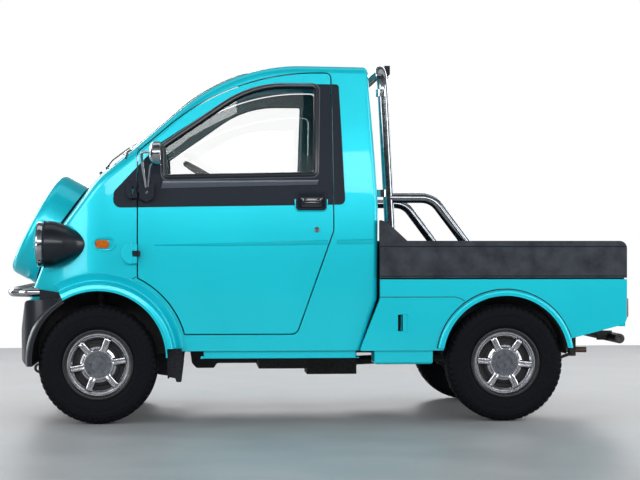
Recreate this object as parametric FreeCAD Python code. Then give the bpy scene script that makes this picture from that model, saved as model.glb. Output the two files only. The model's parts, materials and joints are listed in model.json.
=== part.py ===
import FreeCAD, Part
import math
import os

# Kei truck: a small cab-forward pickup. +X forward, +Y left, +Z up, ground at Z = 0, millimetres.
# Cab stations are measured from the front axle, bed stations from the rear axle.

V = FreeCAD.Vector

# ---- driving dimensions -------------------------------------------------------------------
wheelbase = 1840.0
front_track = 1110.0
rear_track = 1100.0
tyre_radius = 267.0
tyre_width = 145.0
rim_radius = 170.0
bead_radius = 152.0
cover_radius = 142.0
cover_slots = 6
stub_radius = 12.5
stub_reach = 28.0
running_clearance = 0.05

sill_z = 325.0
roof_z = 1650.0
cab_wall = 36.0
sill_flange_x = (-239.0, 449.0)
sill_flange_y = 576.0
floor_z = 384.0
floor_thickness = 12.0
panel_step = 6.0
crown_radius = 4000.0
shoulder_radius = 42.0
back_corner_radius = 24.0

door_gap = 6.0
door_thickness = 42.0
door_skin = 14.0
door_rebate = 16.0
glass_thickness = 5.0
trim_thickness = 3.0
hinge_y = 626.0
hinge_pin_radius = 5.0
hinge_eye_radius = 9.0
hinge_strap = 26.0
hinge_play = 0.5
hinge_throat = 14.0
strap_reach = 22.0

front_arch_radius = 303.0
front_arch_z = 295.0
front_flare_radius = 384.0
front_lip_radius = 335.0
flare_foot_z = 338.0
flare_seat_y = 578.0
rear_arch_radius = 288.0
rear_arch_z = 285.0
rear_flare_radius = 315.0
flare_half_width = 647.0
well_inner_y = 344.0
liner_thickness = 6.0

kingpin_y = 538.0
kingpin_radius = 13.0
arm_spread = 95.0
steer_clearance_radius = 290.0
arm_slot_z = 392.0

cover_drum_radius = 264.0
cover_drum_depth = 160.0
cover_seam = 12.0
cover_root = 120.0
mirror_ahead = -254.0
mirror_y = 704.0
mirror_z = 1208.0
mirror_radius = 54.0
lamp_y = 532.0
lamp_z = 805.0

bed_gap = 6.0
bed_half_width = 625.0
bed_seam_z = 653.0
bed_top_z = 822.0
bed_floor_z = 612.0
bed_wall = 44.0
rear_overhang = 561.0
tailgate_thickness = 36.0
tailgate_pin_radius = 5.0
tailgate_hinge_z = 626.0
tailgate_pin_in = 10.0

bumper_half_width = 624.0
bumper_wall = 26.0
bumper_foot_z = 262.0
grille_slots_z = (330.0, 360.0, 390.0, 420.0)
guard_bar_radius = 20.0
guard_bar_z = 590.0
bar_end_y = 560.0

hoop_tube = 24.0
hoop_top_x = -366.0
hoop_top_z = 1611.0
hoop_stay_x = -392.0
hoop_stay_z = 1019.0
high_lamp_x = (-455.0, -429.0)
high_lamp_z = 1632.0
hoop_foot_y = 506.0
hoop_feet = (-418.0, -903.0)
hoop_flange_radius = 36.0
hoop_pad_radius = 42.0
hoop_pad_height = 6.0

rail_y = 300.0
rail_width = 50.0
rail_height = 66.0
rear_rail_z = 400.0
tow_eye_radius = 12.0
tow_eye_thickness = 12.0
tow_eye_ahead = 290.0
tow_eye_z = 232.0

seat_box_front_x = 205.0
seat_box_half_width = 535.0
seat_box_z = 640.0
seat_inner_y = 50.0
seat_outer_y = 500.0
driver_y = -280.0
steering_wheel_radius = 185.0
steering_wheel_tube = 13.0
steering_wheel_tilt = 31.0
bulkhead_top_z = 880.0
dash_half_width = 530.0

engine_x = (-50.0, 186.0)
engine_z = (215.0, 600.0)
engine_half_width = 190.0
gearbox_x = (-290.0, -50.0)
gearbox_z = (180.0, 300.0)
gearbox_half_width = 95.0
tank_x = (-720.0, -460.0)
tank_z = (300.0, 396.0)
tank_inner_y = 60.0
tray_x = (192.0, 513.0)
tray_half_width = 150.0
exhaust_y = -170.0
exhaust_pipe_radius = 18.0
silencer_radius = 62.0
silencer_length = 240.0
tailpipe_radius = 14.0

brake_drum_radius = 95.0
brake_drum_width = 50.0
axle_tube_radius = 32.0
axle_tube_half = 470.0
differential_radius = 92.0
shaft_radius = 22.0
spring_half_length = 380.0
spring_rise = 70.0
spring_leaf = 8.0
spring_width = 50.0
# Each leaf of a rear spring: how far it lies under the top one, and its share of the length.
spring_leaves = [(0.0, 1.0), (8.0, 0.7), (16.0, 0.42)]
arm_thickness = 16.0
damper_y = 418.0
damper_radius = 24.0

bed_skin = 30.0
bed_floor_thickness = 12.0
step_x = (-587.0, -322.0)
step_y = (470.0, 612.0)
step_z = 262.0
flare_stand = 16.0
rear_bumper_tube = 23.0
rear_bumper_half = 452.0
rear_bumper_z = 366.0

# ---- stations worked out from them --------------------------------------------------------
front_axle_x = wheelbase / 2
front_rail_z = floor_z - floor_thickness - rail_height
rail_inner_y = rail_y - rail_width / 2
rail_outer_y = rail_y + rail_width / 2
bed_inner_y = bed_half_width - bed_skin
rear_axle_x = -wheelbase / 2
cab_back_x = front_axle_x - 1260.0
bed_front_x = cab_back_x - bed_gap
bed_rear_x = rear_axle_x - rear_overhang
nose_turn_x = front_axle_x - 150.0
# Larger than the truck, for cutting boxes.
far = 3000.0


def ahead(distance):
    """X of a station measured forward of the front axle."""
    return front_axle_x + distance


def from_axle(corners):
    """An outline drawn from the front axle, moved to its place on the truck."""
    return [(ahead(d), z, r) for d, z, r in corners]


# ---- drawing helpers ----------------------------------------------------------------------
def rounded_face(corners, place):
    """A face from (u, v, radius) corners; every radius becomes a tangent arc."""
    ends = []
    count = len(corners)
    for i, (u, v, radius) in enumerate(corners):
        here = V(u, v, 0)
        back = V(*corners[i - 1][:2], 0) - here
        on = V(*corners[(i + 1) % count][:2], 0) - here
        back.normalize()
        on.normalize()
        if radius <= 0:
            ends.append((here, None, here))
            continue
        half = back.getAngle(on) / 2
        run = radius / math.tan(half)
        middle = back + on
        middle.normalize()
        crest = here + middle * (radius / math.sin(half) - radius)
        ends.append((here + back * run, crest, here + on * run))
    edges = []
    for i, (start, middle, end) in enumerate(ends):
        if middle is not None:
            edges.append(Part.Arc(place(start), place(middle), place(end)).toShape())
        following = ends[(i + 1) % count][0]
        if (following - end).Length > 1e-6:
            edges.append(Part.LineSegment(place(end), place(following)).toShape())
    return Part.Face(Part.Wire(edges))


def side_plane(y=0.0):
    return lambda p: V(p.x, y, p.y)


def front_plane(x=0.0):
    return lambda p: V(x, p.x, p.y)


def ground_plane(z=0.0):
    return lambda p: V(p.x, p.y, z)


def side_prism(corners, y_low, y_high):
    return rounded_face(corners, side_plane(y_low)).extrude(V(0, y_high - y_low, 0))


def front_prism(corners, x_low, x_high):
    return rounded_face(corners, front_plane(x_low)).extrude(V(x_high - x_low, 0, 0))


def ground_prism(corners, z_low, z_high):
    return rounded_face(corners, ground_plane(z_low)).extrude(V(0, 0, z_high - z_low))


def block(x_low, x_high, y_low, y_high, z_low, z_high):
    return Part.makeBox(x_high - x_low, y_high - y_low, z_high - z_low, V(x_low, y_low, z_low))


def tube_y(radius, x, z, y_low, y_high):
    return Part.makeCylinder(radius, y_high - y_low, V(x, y_low, z), V(0, 1, 0))


def mirrored(shape):
    return shape.mirror(V(0, 0, 0), V(0, 1, 0))


def both_sides(shape):
    return Part.makeCompound([shape, mirrored(shape)])


def fuse(shapes):
    whole = shapes[0].multiFuse(shapes[1:]) if len(shapes) > 1 else shapes[0]
    return whole.removeSplitter()


def inset_corners(corners, depth):
    """Moves every side of a convex clockwise or anticlockwise outline inwards by depth."""
    area = 0.0
    count = len(corners)
    for i in range(count):
        u0, v0 = corners[i - 1][:2]
        u1, v1 = corners[i][:2]
        area += u0 * v1 - u1 * v0
    turn = 1.0 if area > 0 else -1.0
    lines = []
    for i in range(count):
        u0, v0 = corners[i][:2]
        u1, v1 = corners[(i + 1) % count][:2]
        length = math.hypot(u1 - u0, v1 - v0)
        du, dv = (u1 - u0) / length, (v1 - v0) / length
        lines.append((u0 - turn * dv * depth, v0 + turn * du * depth, du, dv))
    moved = []
    for i in range(count):
        pu, pv, pdu, pdv = lines[i - 1]
        qu, qv, qdu, qdv = lines[i]
        cross = pdu * qdv - pdv * qdu
        along = ((qu - pu) * qdv - (qv - pv) * qdu) / cross
        moved.append((pu + along * pdu, pv + along * pdv, max(corners[i][2] - depth, 0.0)))
    return moved


def pipe(points, radius, bend):
    """A round tube along straight runs joined by tangent arcs."""
    path = []
    previous = V(*points[0])
    for i in range(1, len(points) - 1):
        here = V(*points[i])
        back = V(*points[i - 1]) - here
        on = V(*points[i + 1]) - here
        back.normalize()
        on.normalize()
        half = back.getAngle(on) / 2
        run = bend / math.tan(half)
        middle = back + on
        middle.normalize()
        start, end = here + back * run, here + on * run
        path.append(Part.LineSegment(previous, start).toShape())
        top = here + middle * (bend / math.sin(half) - bend)
        path.append(Part.Arc(start, top, end).toShape())
        previous = end
    path.append(Part.LineSegment(previous, V(*points[-1])).toShape())
    first = V(*points[1]) - V(*points[0])
    ring = Part.Wire(Part.Circle(V(*points[0]), first, radius).toShape())
    return Part.Wire(path).makePipeShell([ring], True, False)


# ---- cab envelope -------------------------------------------------------------------------
# Side view of the cab on its centre plane: distance ahead of the front axle, height, corner radius.
cab_profile = [
    (270.0, sill_z, 0.0),
    (343.0, 556.0, 0.0),
    (232.0, 850.0, 500.0),
    (31.0, 1126.0, 430.0),
    (-590.0, roof_z, 850.0),
    (-1500.0, roof_z - 7.0, 0.0),
    (-1500.0, sill_z, 0.0),
]
nose_foot = cab_profile[1]
screen_foot = cab_profile[3]
screen_head = cab_profile[4]

# Side view of the flat back wall, from its foot up.
cab_back_profile = [
    (-1178.0, sill_z, 0.0),
    (-1256.0, 559.0, 60.0),
    (-1260.0, 1000.0, 900.0),
    (-1216.0, roof_z + 60.0, 0.0),
]

# Half of the cab's cross-section: half width, height, corner radius.
cab_half_section = [
    (596.0, sill_z, 0.0),
    (613.0, 1040.0, far),
    (498.0, roof_z + 50.0, 0.0),
]


def screen_axis():
    """Point and direction of the axis that crowns the cab: parallel to the windscreen, far below it."""
    foot = V(ahead(screen_foot[0]), 0, screen_foot[1])
    head = V(ahead(screen_head[0]), 0, screen_head[1])
    along = head - foot
    along.normalize()
    normal = V(along.z, 0, -along.x)
    return foot - normal * crown_radius, along, normal


def crowned_profile(inset, bottom_drop):
    corners = [(ahead(d), z, r) for d, z, r in cab_profile]
    if inset:
        corners = inset_corners(corners, inset)
    if bottom_drop:
        near_sill = sill_z + abs(inset) + 1.0
        corners = [(x, z - bottom_drop if z < near_sill else z, r) for x, z, r in corners]
    base, along, _ = screen_axis()
    half_angle = 16.0
    face = rounded_face(corners, side_plane())
    face.rotate(base, along, -half_angle)
    return face.revolve(base, along, 2 * half_angle)


def side_body(inset, bottom_drop):
    """Cab sides: one section carried back from the nose turn, and spun round the turn's vertical axis."""
    half = [(y - inset, z, r) for y, z, r in cab_half_section]
    bottom = sill_z - bottom_drop
    half[0] = (half[0][0], bottom, 0.0)
    spun = rounded_face([(0.0, bottom, 0.0)] + half + [(0.0, roof_z + 50.0, 0.0)], front_plane(nose_turn_x))
    nose = spun.revolve(V(nose_turn_x, 0, 0), V(0, 0, 1), -180)
    full = half + [(-y, z, r) for y, z, r in reversed(half)]
    straight = front_prism(full, cab_back_x - 60.0, nose_turn_x)
    return straight.fuse(nose).removeSplitter()


def back_body(inset, bottom_drop):
    """Everything ahead of the back wall."""
    wall = from_axle(cab_back_profile)
    (foot_x, foot_z, _), (knee_x, knee_z, _) = wall[:2]
    slope = (foot_x - knee_x) / (foot_z - knee_z)
    bottom = foot_z - bottom_drop
    wall[0] = (foot_x - slope * bottom_drop, bottom, 0.0)
    front_x = front_axle_x + 600.0
    outline = wall + [(front_x, wall[-1][1], 0.0), (front_x, bottom, 0.0)]
    moved = inset_corners(outline, inset) if inset else outline
    low, high = bottom - 1.0, wall[-1][1]
    moved = [(x, min(max(z, low), high), r) for x, z, r in moved]
    return side_prism(moved, -900.0, 900.0)


def on_surface(edge, shell):
    middle = edge.valueAt((edge.FirstParameter + edge.LastParameter) / 2)
    return shell.distToShape(Part.Vertex(middle))[0] < 0.02


def cab_envelope(inset, bottom_drop=0.0):
    crown = crowned_profile(inset, bottom_drop)
    sides = side_body(inset, bottom_drop)
    back = back_body(inset, bottom_drop)
    body = crown.common(sides).common(back).Solids[0]
    radius = shoulder_radius - inset
    if radius < 6.0 or inset < 0.0:
        return body
    crown_shell, side_shell, back_shell = crown.Shells[0], sides.Shells[0], back.Shells[0]
    shoulder = [e for e in body.Edges if on_surface(e, crown_shell) and on_surface(e, side_shell)]
    shoulder = [e for e in shoulder if e.BoundBox.ZMin > sill_z + 20.0]
    body = body.makeFillet(radius, shoulder)
    if inset:
        return body
    corner = [e for e in body.Edges if on_surface(e, back_shell) and e.BoundBox.ZMax > sill_z + 20.0]
    corner = [e for e in corner if e.BoundBox.YLength < 2.0 * roof_half_width + 200.0]
    corner = [e for e in corner if abs(e.CenterOfMass.y) > 300.0 or e.CenterOfMass.z > roof_z - 80.0]
    return body.makeFillet(back_corner_radius, corner)


# ---- outlines in side view: distance ahead of the front axle, height, corner radius -------
door_outline = [
    (-171.0, 397.0, 0.0),
    (-171.0, 1223.0, 30.0),
    (-599.0, 1592.0, 1050.0),
    (-1054.0, 1592.0, 28.0),
    (-1061.0, 868.0, 60.0),
    (-893.0, 397.0, 40.0),
]
window_outline = [
    (-297.0, 1112.0, 14.0),
    (-293.0, 1245.0, 10.0),
    (-692.0, 1524.0, 485.0),
    (-982.0, 1524.0, 18.0),
    (-972.0, 1126.0, 14.0),
]
band_outline = [
    (-64.0, 970.0, 34.0),
    (-68.0, 1042.0, 34.0),
    (-274.0, 1262.0, 50.0),
    (-690.0, 1537.0, 485.0),
    (-1086.0, 1537.0, 14.0),
    (-1110.0, 986.0, 24.0),
]
door_flare_gap = 12.0
hinge_line = -165.0
# Each door hinge: height of its middle, half its height, its cover's reach ahead of the pin, and that
# cover's front corner radius.
door_hinges = [(764.0, 48.0, 60.0, 42.0), (1050.0, 43.0, 40.0, 24.0)]
panel_joint = -166.0
roof_half_width = 462.0
back_joint_x = cab_back_x + 52.0


def door_zone(inset):
    """Prism through the left door's outline, drawn in by inset, clear of the wheel-arch flare."""
    zone = side_prism(inset_corners(from_axle(door_outline), inset), 100.0, 900.0)
    reach = front_flare_radius + door_flare_gap + inset
    return zone.cut(tube_y(reach, front_axle_x, front_arch_z, 50.0, 950.0))


def window_zone(grow=0.0):
    return side_prism(inset_corners(from_axle(window_outline), -grow), 100.0, 900.0)


def band_zone():
    return side_prism(from_axle(band_outline), 100.0, 900.0)


def front_well(radius, inner_y):
    """Space of the left front wheel: an arch over the tyre and straight sides below its centre."""
    arch = tube_y(radius, front_axle_x, front_arch_z, inner_y, 760.0)
    return arch.fuse(block(ahead(-radius), ahead(radius), inner_y, 760.0, 0.0, front_arch_z))


def rear_well(radius, inner_y):
    arch = tube_y(radius, rear_axle_x, rear_arch_z, inner_y, 760.0)
    return arch.fuse(block(rear_axle_x - radius, rear_axle_x + radius, inner_y, 760.0, 0.0, rear_arch_z))


def screen_frame():
    """Placement whose X runs down the windscreen from its head, Y across it and Z out of it."""
    base, along, normal = screen_axis()
    head = V(ahead(screen_head[0]), 0, screen_head[1])
    return FreeCAD.Placement(head, FreeCAD.Rotation(-along, V(0, -1, 0), normal, "ZXY"))


def screen_zone():
    """Prism through the windscreen opening, narrower at its head."""
    outline = [(-20.0, 432.0, 70.0), (728.0, 478.0, 60.0), (728.0, -478.0, 60.0), (-20.0, -432.0, 70.0)]
    prism = ground_prism(outline, -160.0, 160.0)
    prism.Placement = screen_frame()
    return prism


def back_window_zone():
    """Prism through the rear window opening, a little narrower at its head."""
    half, low, high = 400.0, 1140.0, 1500.0
    outline = [(-half, low, 50.0), (half, low, 50.0), (half - 30.0, high, 50.0), (30.0 - half, high, 50.0)]
    return front_prism(outline, cab_back_x - 120.0, cab_back_x + 160.0)


# ---- cab -----------------------------------------------------------------------------------
def cab_shell(outer):
    wells = front_well(front_arch_radius + liner_thickness, well_inner_y - liner_thickness)
    underneath = block(-far, far, -545.0, 545.0, 0.0, floor_z - floor_thickness)
    seat = tube_y(front_flare_radius, front_axle_x, front_arch_z, flare_seat_y, 760.0)
    seat = seat.common(block(0.0, far, 0.0, 900.0, flare_foot_z, far))
    shell = outer.cut(cab_envelope(cab_wall, 100.0))
    return shell.cut([wells, mirrored(wells), seat, mirrored(seat), underneath])


def cab_panels(outer):
    """The shell parted where its pressings meet: nose, two side frames, roof and back."""
    shell = cab_shell(outer).cut([screen_zone(), back_window_zone()])
    doors = door_zone(0.0)
    joint_x = ahead(panel_joint)
    nose_box = block(joint_x, far, -far, far, 0.0, far)
    back_box = block(-far, back_joint_x, -far, far, 0.0, far)
    roof_box = block(back_joint_x, joint_x, -roof_half_width, roof_half_width, 1300.0, far)
    nose = shell.common(nose_box)
    back = shell.common(back_box)
    roof = shell.common(roof_box)
    flange = block(*sill_flange_x, sill_flange_y - 4.0, sill_flange_y, sill_z - 34.0, sill_z + 6.0)
    sides = shell.cut([nose_box, back_box, roof_box, doors, mirrored(doors)])
    sides = fuse([sides, flange, mirrored(flange)])
    return {"cab_nose": nose, "cab_back": back, "cab_roof": roof, "cab_sides": sides}


def cab_floor():
    """Floor pan between the sills, with the footwell, bulkhead and the box under the seats."""
    inside = cab_envelope(cab_wall, 100.0)
    well = front_well(front_arch_radius + liner_thickness, well_inner_y - liner_thickness)
    thick = floor_thickness
    bulkhead_x = ahead(-10.0)
    back_x = back_joint_x - 200.0
    half, box_x = seat_box_half_width, seat_box_front_x
    pan = block(back_x, bulkhead_x, -far, far, floor_z - thick, floor_z)
    bulkhead = block(bulkhead_x - thick, bulkhead_x, -far, far, floor_z - thick, bulkhead_top_z)
    outer_box = block(back_x, box_x, -half, half, floor_z - thick, seat_box_z)
    under_seats = block(back_x - 100.0, box_x - thick, -half + thick, half - thick, 0.0, seat_box_z - thick)
    whole = fuse([pan.cut(under_seats), bulkhead, outer_box.cut(under_seats)])
    return whole.common(inside).cut([well, mirrored(well)])


def arch_ring(section):
    """Revolves a (Y, radius, corner radius) section about the left front arch's axis."""
    face = rounded_face(section, lambda p: V(front_axle_x, p.x, front_arch_z + p.y))
    return face.revolve(V(front_axle_x, 0, front_arch_z), V(0, 1, 0), 360)


def behind_joint(y_low, y_high):
    """Space behind the sloping joint where the flare hands over to the bumper, above the arch's axis."""
    run, rise = 300.0, 510.0
    corners = [(ahead(0.0), front_arch_z, 0.0), (ahead(run), front_arch_z + rise, 0.0),
               (ahead(-run), front_arch_z + rise, 0.0), (ahead(-run), front_arch_z, 0.0)]
    return side_prism(corners, y_low, y_high)


def below_joint(y_low, y_high):
    """Everything ahead of the same joint."""
    run, rise = 300.0, 510.0
    corners = [(ahead(0.0), front_arch_z, 0.0), (ahead(run), front_arch_z + rise, 0.0),
               (ahead(700.0), front_arch_z + rise, 0.0), (ahead(700.0), 0.0, 0.0), (ahead(0.0), 0.0, 0.0)]
    return side_prism(corners, y_low, y_high)


def front_fenders():
    """Wheel-arch liner and flare of each front wheel as one pressing."""
    lined = front_arch_radius + liner_thickness
    foot_z = front_arch_z + 4.0
    liner = front_well(lined, well_inner_y - liner_thickness)
    liner = liner.common(block(0.0, far, 0.0, flare_half_width, foot_z, far))
    lip_y = flare_half_width
    section = [(flare_seat_y, front_arch_radius, 0.0), (lip_y, front_arch_radius, 9.0),
               (lip_y - 6.0, front_lip_radius, 9.0), (lip_y - 53.0, front_lip_radius + 9.0, 8.0),
               (lip_y - 35.0, front_flare_radius, 3.0), (flare_seat_y, front_flare_radius, 0.0)]
    flare = arch_ring(section).common(block(0.0, far, 0.0, 900.0, flare_foot_z, far)).cut(door_zone(0.0))
    arm_slot = block(ahead(-75.0), ahead(75.0), well_inner_y - 20.0, well_inner_y + 20.0, 0.0, arm_slot_z)
    whole = fuse([liner, flare]).cut([front_well(front_arch_radius, well_inner_y), arm_slot])
    return both_sides(whole.cut(below_joint(well_inner_y, 900.0)))


def front_bumper(outer):
    """Moulded bumper across the nose, open behind, its ends lipped round the wheel arches."""
    section = from_axle([(90.0, 566.0, 0.0), (330.0, 553.0, 18.0), (350.0, 420.0, 60.0), (348.0, 285.0, 24.0),
                         (326.0, bumper_foot_z, 12.0), (90.0, bumper_foot_z, 0.0)])
    half = bumper_half_width
    plan = from_axle([(60.0, -half, 0.0), (352.0, -half, 150.0), (352.0, half, 150.0), (60.0, half, 0.0)])
    body = side_prism(section, -half, half).common(ground_prism(plan, 200.0, 600.0))
    lip = [(540.0, 280.0, 0.0), (flare_half_width - 1.0, 280.0, 0.0), (flare_half_width - 3.0, 311.0, 9.0),
           (half - 14.0, 322.0, 0.0), (540.0, 322.0, 0.0)]
    lip = arch_ring(lip).common(block(ahead(0.0), ahead(400.0), 0.0, 900.0, bumper_foot_z, 900.0))
    horn = from_axle([(262.0, 604.0, 5.0), (262.0, 550.0, 0.0), (165.0, 545.0, 0.0), (165.0, 588.0, 8.0)])
    horn = side_prism(horn, bar_end_y - 18.0, bar_end_y + 18.0)
    solid = fuse([body, lip, mirrored(lip), horn, mirrored(horn)])
    inner = inset_corners(section, bumper_wall)
    opened = [(x if x > ahead(200.0) else x - 200.0, z if z > 300.0 else z - 100.0, r) for x, z, r in inner]
    hollow = side_prism(opened, 10.0 - well_inner_y, well_inner_y - 10.0)
    well = front_well(steer_clearance_radius, well_inner_y)
    grille = [block(ahead(250.0), ahead(400.0), -230.0, 230.0, z, z + 14.0) for z in grille_slots_z]
    solid = solid.cut([hollow, outer, well, mirrored(well)] + grille)
    return solid.cut(behind_joint(-900.0, 900.0))


def guard_bar():
    """Round bar ahead of the bumper, its ends swept back onto the bumper's horns."""
    start, reach, y, z = ahead(262.0), ahead(392.0), bar_end_y, guard_bar_z
    points = [(start, y, z), (reach, y, z), (reach, -y, z), (start, -y, z)]
    return pipe(points, guard_bar_radius, 95.0)


def nose_frame(lift):
    """Point on the nose panel's centre line and its outward normal, raised by lift."""
    foot = V(ahead(nose_foot[0]), 0, nose_foot[1])
    head = V(ahead(screen_foot[0]), 0, screen_foot[1])
    along = head - foot
    length = along.Length
    along.normalize()
    normal = V(along.z, 0, -along.x)
    return foot + along * (0.50 * length) + normal * lift, normal


def spare_cover():
    """Round cover of the spare wheel, its back edge following the nose at a small seam."""
    back, normal = nose_frame(-cover_root)
    drum = Part.makeCylinder(cover_drum_radius, cover_root + cover_drum_depth, back, normal)
    face_point = back + normal * (cover_root + cover_drum_depth)
    edges = [e for e in drum.Edges if abs((e.CenterOfMass - face_point).dot(normal)) < 0.1]
    return drum.makeFillet(34.0, edges).cut(cab_envelope(-cover_seam))


def spare_carrier(outer, cover):
    """Drum on the nose panel that carries the cover, filling the seam behind it."""
    back, normal = nose_frame(-cover_root)
    carrier = Part.makeCylinder(cover_drum_radius - 9.0, cover_root + cover_drum_depth / 2, back, normal)
    return carrier.cut([outer, cover]).Solids[0]


def spun_x(corners, y, z):
    """Revolves a (x, radius, corner radius) outline about a fore-and-aft axis."""
    face = rounded_face(corners, lambda p: V(p.x, y, z + p.y))
    return face.revolve(V(0, y, z), V(1, 0, 0), 360)


def headlights(outer):
    """Bullet-shaped pods with a front rim, and the lens that closes each."""
    shell = [(42.0, 0.0, 0.0), (44.0, 22.0, 18.0), (90.0, 58.0, 160.0), (150.0, 88.0, 300.0),
             (205.0, 107.0, 120.0), (246.0, 104.0, 4.0), (248.0, 97.0, 0.0), (276.0, 97.0, 5.0),
             (277.0, 86.0, 0.0), (262.0, 86.0, 0.0), (262.0, 0.0, 0.0)]
    lens = [(262.5, 0.0, 0.0), (262.5, 85.5, 0.0), (272.0, 85.5, 0.0), (292.0, 48.0, 60.0), (295.0, 0.0, 0.0)]
    pod = spun_x(from_axle(shell), lamp_y, lamp_z).cut(outer)
    return both_sides(pod.Solids[0]), both_sides(spun_x(from_axle(lens), lamp_y, lamp_z))


def indicators(outer):
    lens = side_prism([(ahead(-48.0), 789.0, 16.0), (ahead(14.0), 789.0, 16.0), (ahead(14.0), 825.0, 16.0),
                       (ahead(-48.0), 825.0, 16.0)], 400.0, 900.0)
    moved = outer.copy()
    moved.translate(V(0, 8.0, 0))
    return both_sides(lens.common(moved).cut(outer))


def cab_glass():
    skin = cab_envelope(4.0).cut(cab_envelope(10.0))
    screen = skin.common(screen_zone()).Solids
    rear = skin.common(back_window_zone()).Solids
    front = max(screen, key=lambda s: s.Volume)
    return Part.makeCompound([front, max(rear, key=lambda s: s.Volume)])


# ---- doors ---------------------------------------------------------------------------------
def left_door(outer):
    """Door leaf: an outer skin with a fine gap, and an inner box set back from it all round."""
    skin = outer.cut(cab_envelope(door_skin)).common(door_zone(door_gap))
    box = cab_envelope(door_skin).cut(cab_envelope(door_thickness)).common(door_zone(door_gap + door_rebate))
    leaf = fuse([skin, box]).cut(window_zone())
    glass_inset = door_skin + 2.0
    glass = cab_envelope(glass_inset).cut(cab_envelope(glass_inset + glass_thickness)).common(window_zone())
    raised = cab_envelope(-trim_thickness).cut(outer)
    straps = hinge_straps(outer)
    trim = raised.common(band_zone()).common(door_zone(door_gap)).cut([window_zone()] + straps)
    leaf = fuse([leaf] + straps)
    fixed = raised.common(band_zone()).cut([door_zone(0.0)] + hinge_slots())
    return leaf, glass, trim, fixed


def hinge_slots():
    """Room of each hinge strap between the two halves of its cover."""
    x = ahead(hinge_line)
    half = hinge_strap / 2 + hinge_play
    low_y, high_y = hinge_y - 90.0, hinge_y + 60.0
    return [block(x - 60.0, x + hinge_throat, low_y, high_y, z - half, z + half) for z, _, _, _ in door_hinges]


def hinge_brackets(outer, band_ends):
    """Domed hinge cover ahead of each door hinge, slotted for the door's strap, with the pin through it."""
    x = ahead(hinge_line)
    pieces = []
    for z, half, reach, nose in door_hinges:
        low, high, front_x = z - half, z + half, x + reach
        cover = side_prism([(x + hinge_throat, low, 0.0), (x + hinge_throat, high, 0.0), (front_x, high, nose),
                            (front_x, low, nose)], hinge_y - 60.0, hinge_y + 10.0)
        face_edges = [e for e in cover.Edges if e.BoundBox.YMin > hinge_y + 9.0]
        cover = cover.makeFillet(5.0, face_edges)
        knuckle = block(x - hinge_eye_radius, x + hinge_throat + 2.0, hinge_y - hinge_eye_radius,
                        hinge_y + hinge_eye_radius - 2.0, low + 5.0, high - 5.0)
        pin = Part.makeCylinder(hinge_pin_radius, 2 * half - 16.0, V(x, hinge_y, low + 8.0))
        pieces.append(cover.fuse(knuckle).cut([outer, band_ends] + hinge_slots()).fuse(pin))
    return both_sides(Part.makeCompound(pieces))


def hinge_straps(outer):
    """The door's half of its two hinges: a strap lying on the skin with an eye round the pin."""
    x = ahead(hinge_line)
    straps = []
    for z, _, _, _ in door_hinges:
        low = z - hinge_strap / 2
        eye = Part.makeCylinder(hinge_eye_radius, hinge_strap, V(x, hinge_y, low))
        door_edge = ahead(door_outline[0][0]) - door_gap
        high = low + hinge_strap
        over_gap = block(x - strap_reach, x, hinge_y - hinge_eye_radius, hinge_y + 3.0, low, high)
        on_skin = block(x - strap_reach, door_edge, hinge_y - 30.0, hinge_y + 3.0, low, high)
        arm = over_gap.fuse(on_skin)
        bore_radius = hinge_pin_radius + running_clearance
        bore = Part.makeCylinder(bore_radius, 2 * hinge_strap, V(x, hinge_y, low - hinge_strap / 2))
        straps.append(eye.fuse(arm).cut([outer, bore]))
    return straps


def left_mirror(outer):
    """Mirror on a bent stalk, standing on a base against the door's window band."""
    foot = from_axle([(-180.0, 1081.0, 8.0), (-252.0, 1081.0, 8.0), (-246.0, 1010.0, 14.0),
                      (-216.0, 994.0, 8.0), (-186.0, 1010.0, 14.0)])
    foot = side_prism(foot, 500.0, 640.0).cut(cab_envelope(-trim_thickness))
    x, y, z = ahead(mirror_ahead), mirror_y, mirror_z
    bend_x = ahead(-196.0)
    stalk = [(ahead(-216.0), 628.0, 1037.0), (bend_x, 668.0, z - 30.0), (bend_x, y, z + 6.0),
             (x + 6.0, y, z + 6.0)]
    bowl = [(x - 24.0, 0.0, 0.0), (x - 24.0, mirror_radius, 3.0), (x - 6.0, mirror_radius, 16.0),
            (x + 22.0, 30.0, 40.0), (x + 24.0, 0.0, 0.0)]
    return fuse([foot, pipe(stalk, 6.0, 12.0), spun_x(bowl, y, z)])


# ---- inside the cab ------------------------------------------------------------------------
def steering_axis():
    """Centre of the steering wheel and the direction its column runs down in."""
    tilt = math.radians(steering_wheel_tilt)
    return V(ahead(-532.0), driver_y, 1124.0), V(math.sin(tilt), 0, -math.cos(tilt))


def dashboard():
    section = [(30.0, 900.0, 0.0), (30.0, 1040.0, 0.0), (-150.0, 1076.0, 30.0), (-318.0, 1052.0, 40.0),
               (-386.0, 950.0, 30.0), (-330.0, 832.0, 20.0), (-150.0, 812.0, 20.0)]
    dash = side_prism(from_axle(section), -900.0, 900.0).common(cab_envelope(cab_wall))
    return dash.common(block(0.0, far, -dash_half_width, dash_half_width, 0.0, far))


def steering_wheel(dash):
    """Rim, three spokes and hub, with the column running down into the dashboard."""
    centre, axis = steering_axis()
    reach = steering_wheel_radius - steering_wheel_tube
    across = V(-axis.z, 0, axis.x)
    pieces = [Part.makeTorus(reach, steering_wheel_tube, centre, axis)]
    pieces.append(Part.makeCylinder(42.0, 34.0, centre - axis * 10.0, axis))
    for angle in (90, 210, 330):
        turn = math.radians(angle)
        way = across * math.cos(turn) + V(0, 1, 0) * math.sin(turn)
        pieces.append(Part.makeCylinder(9.0, reach, centre, way))
    column = Part.makeCylinder(24.0, 400.0, centre, axis)
    return fuse([fuse(pieces), column.cut(dash)])


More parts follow.
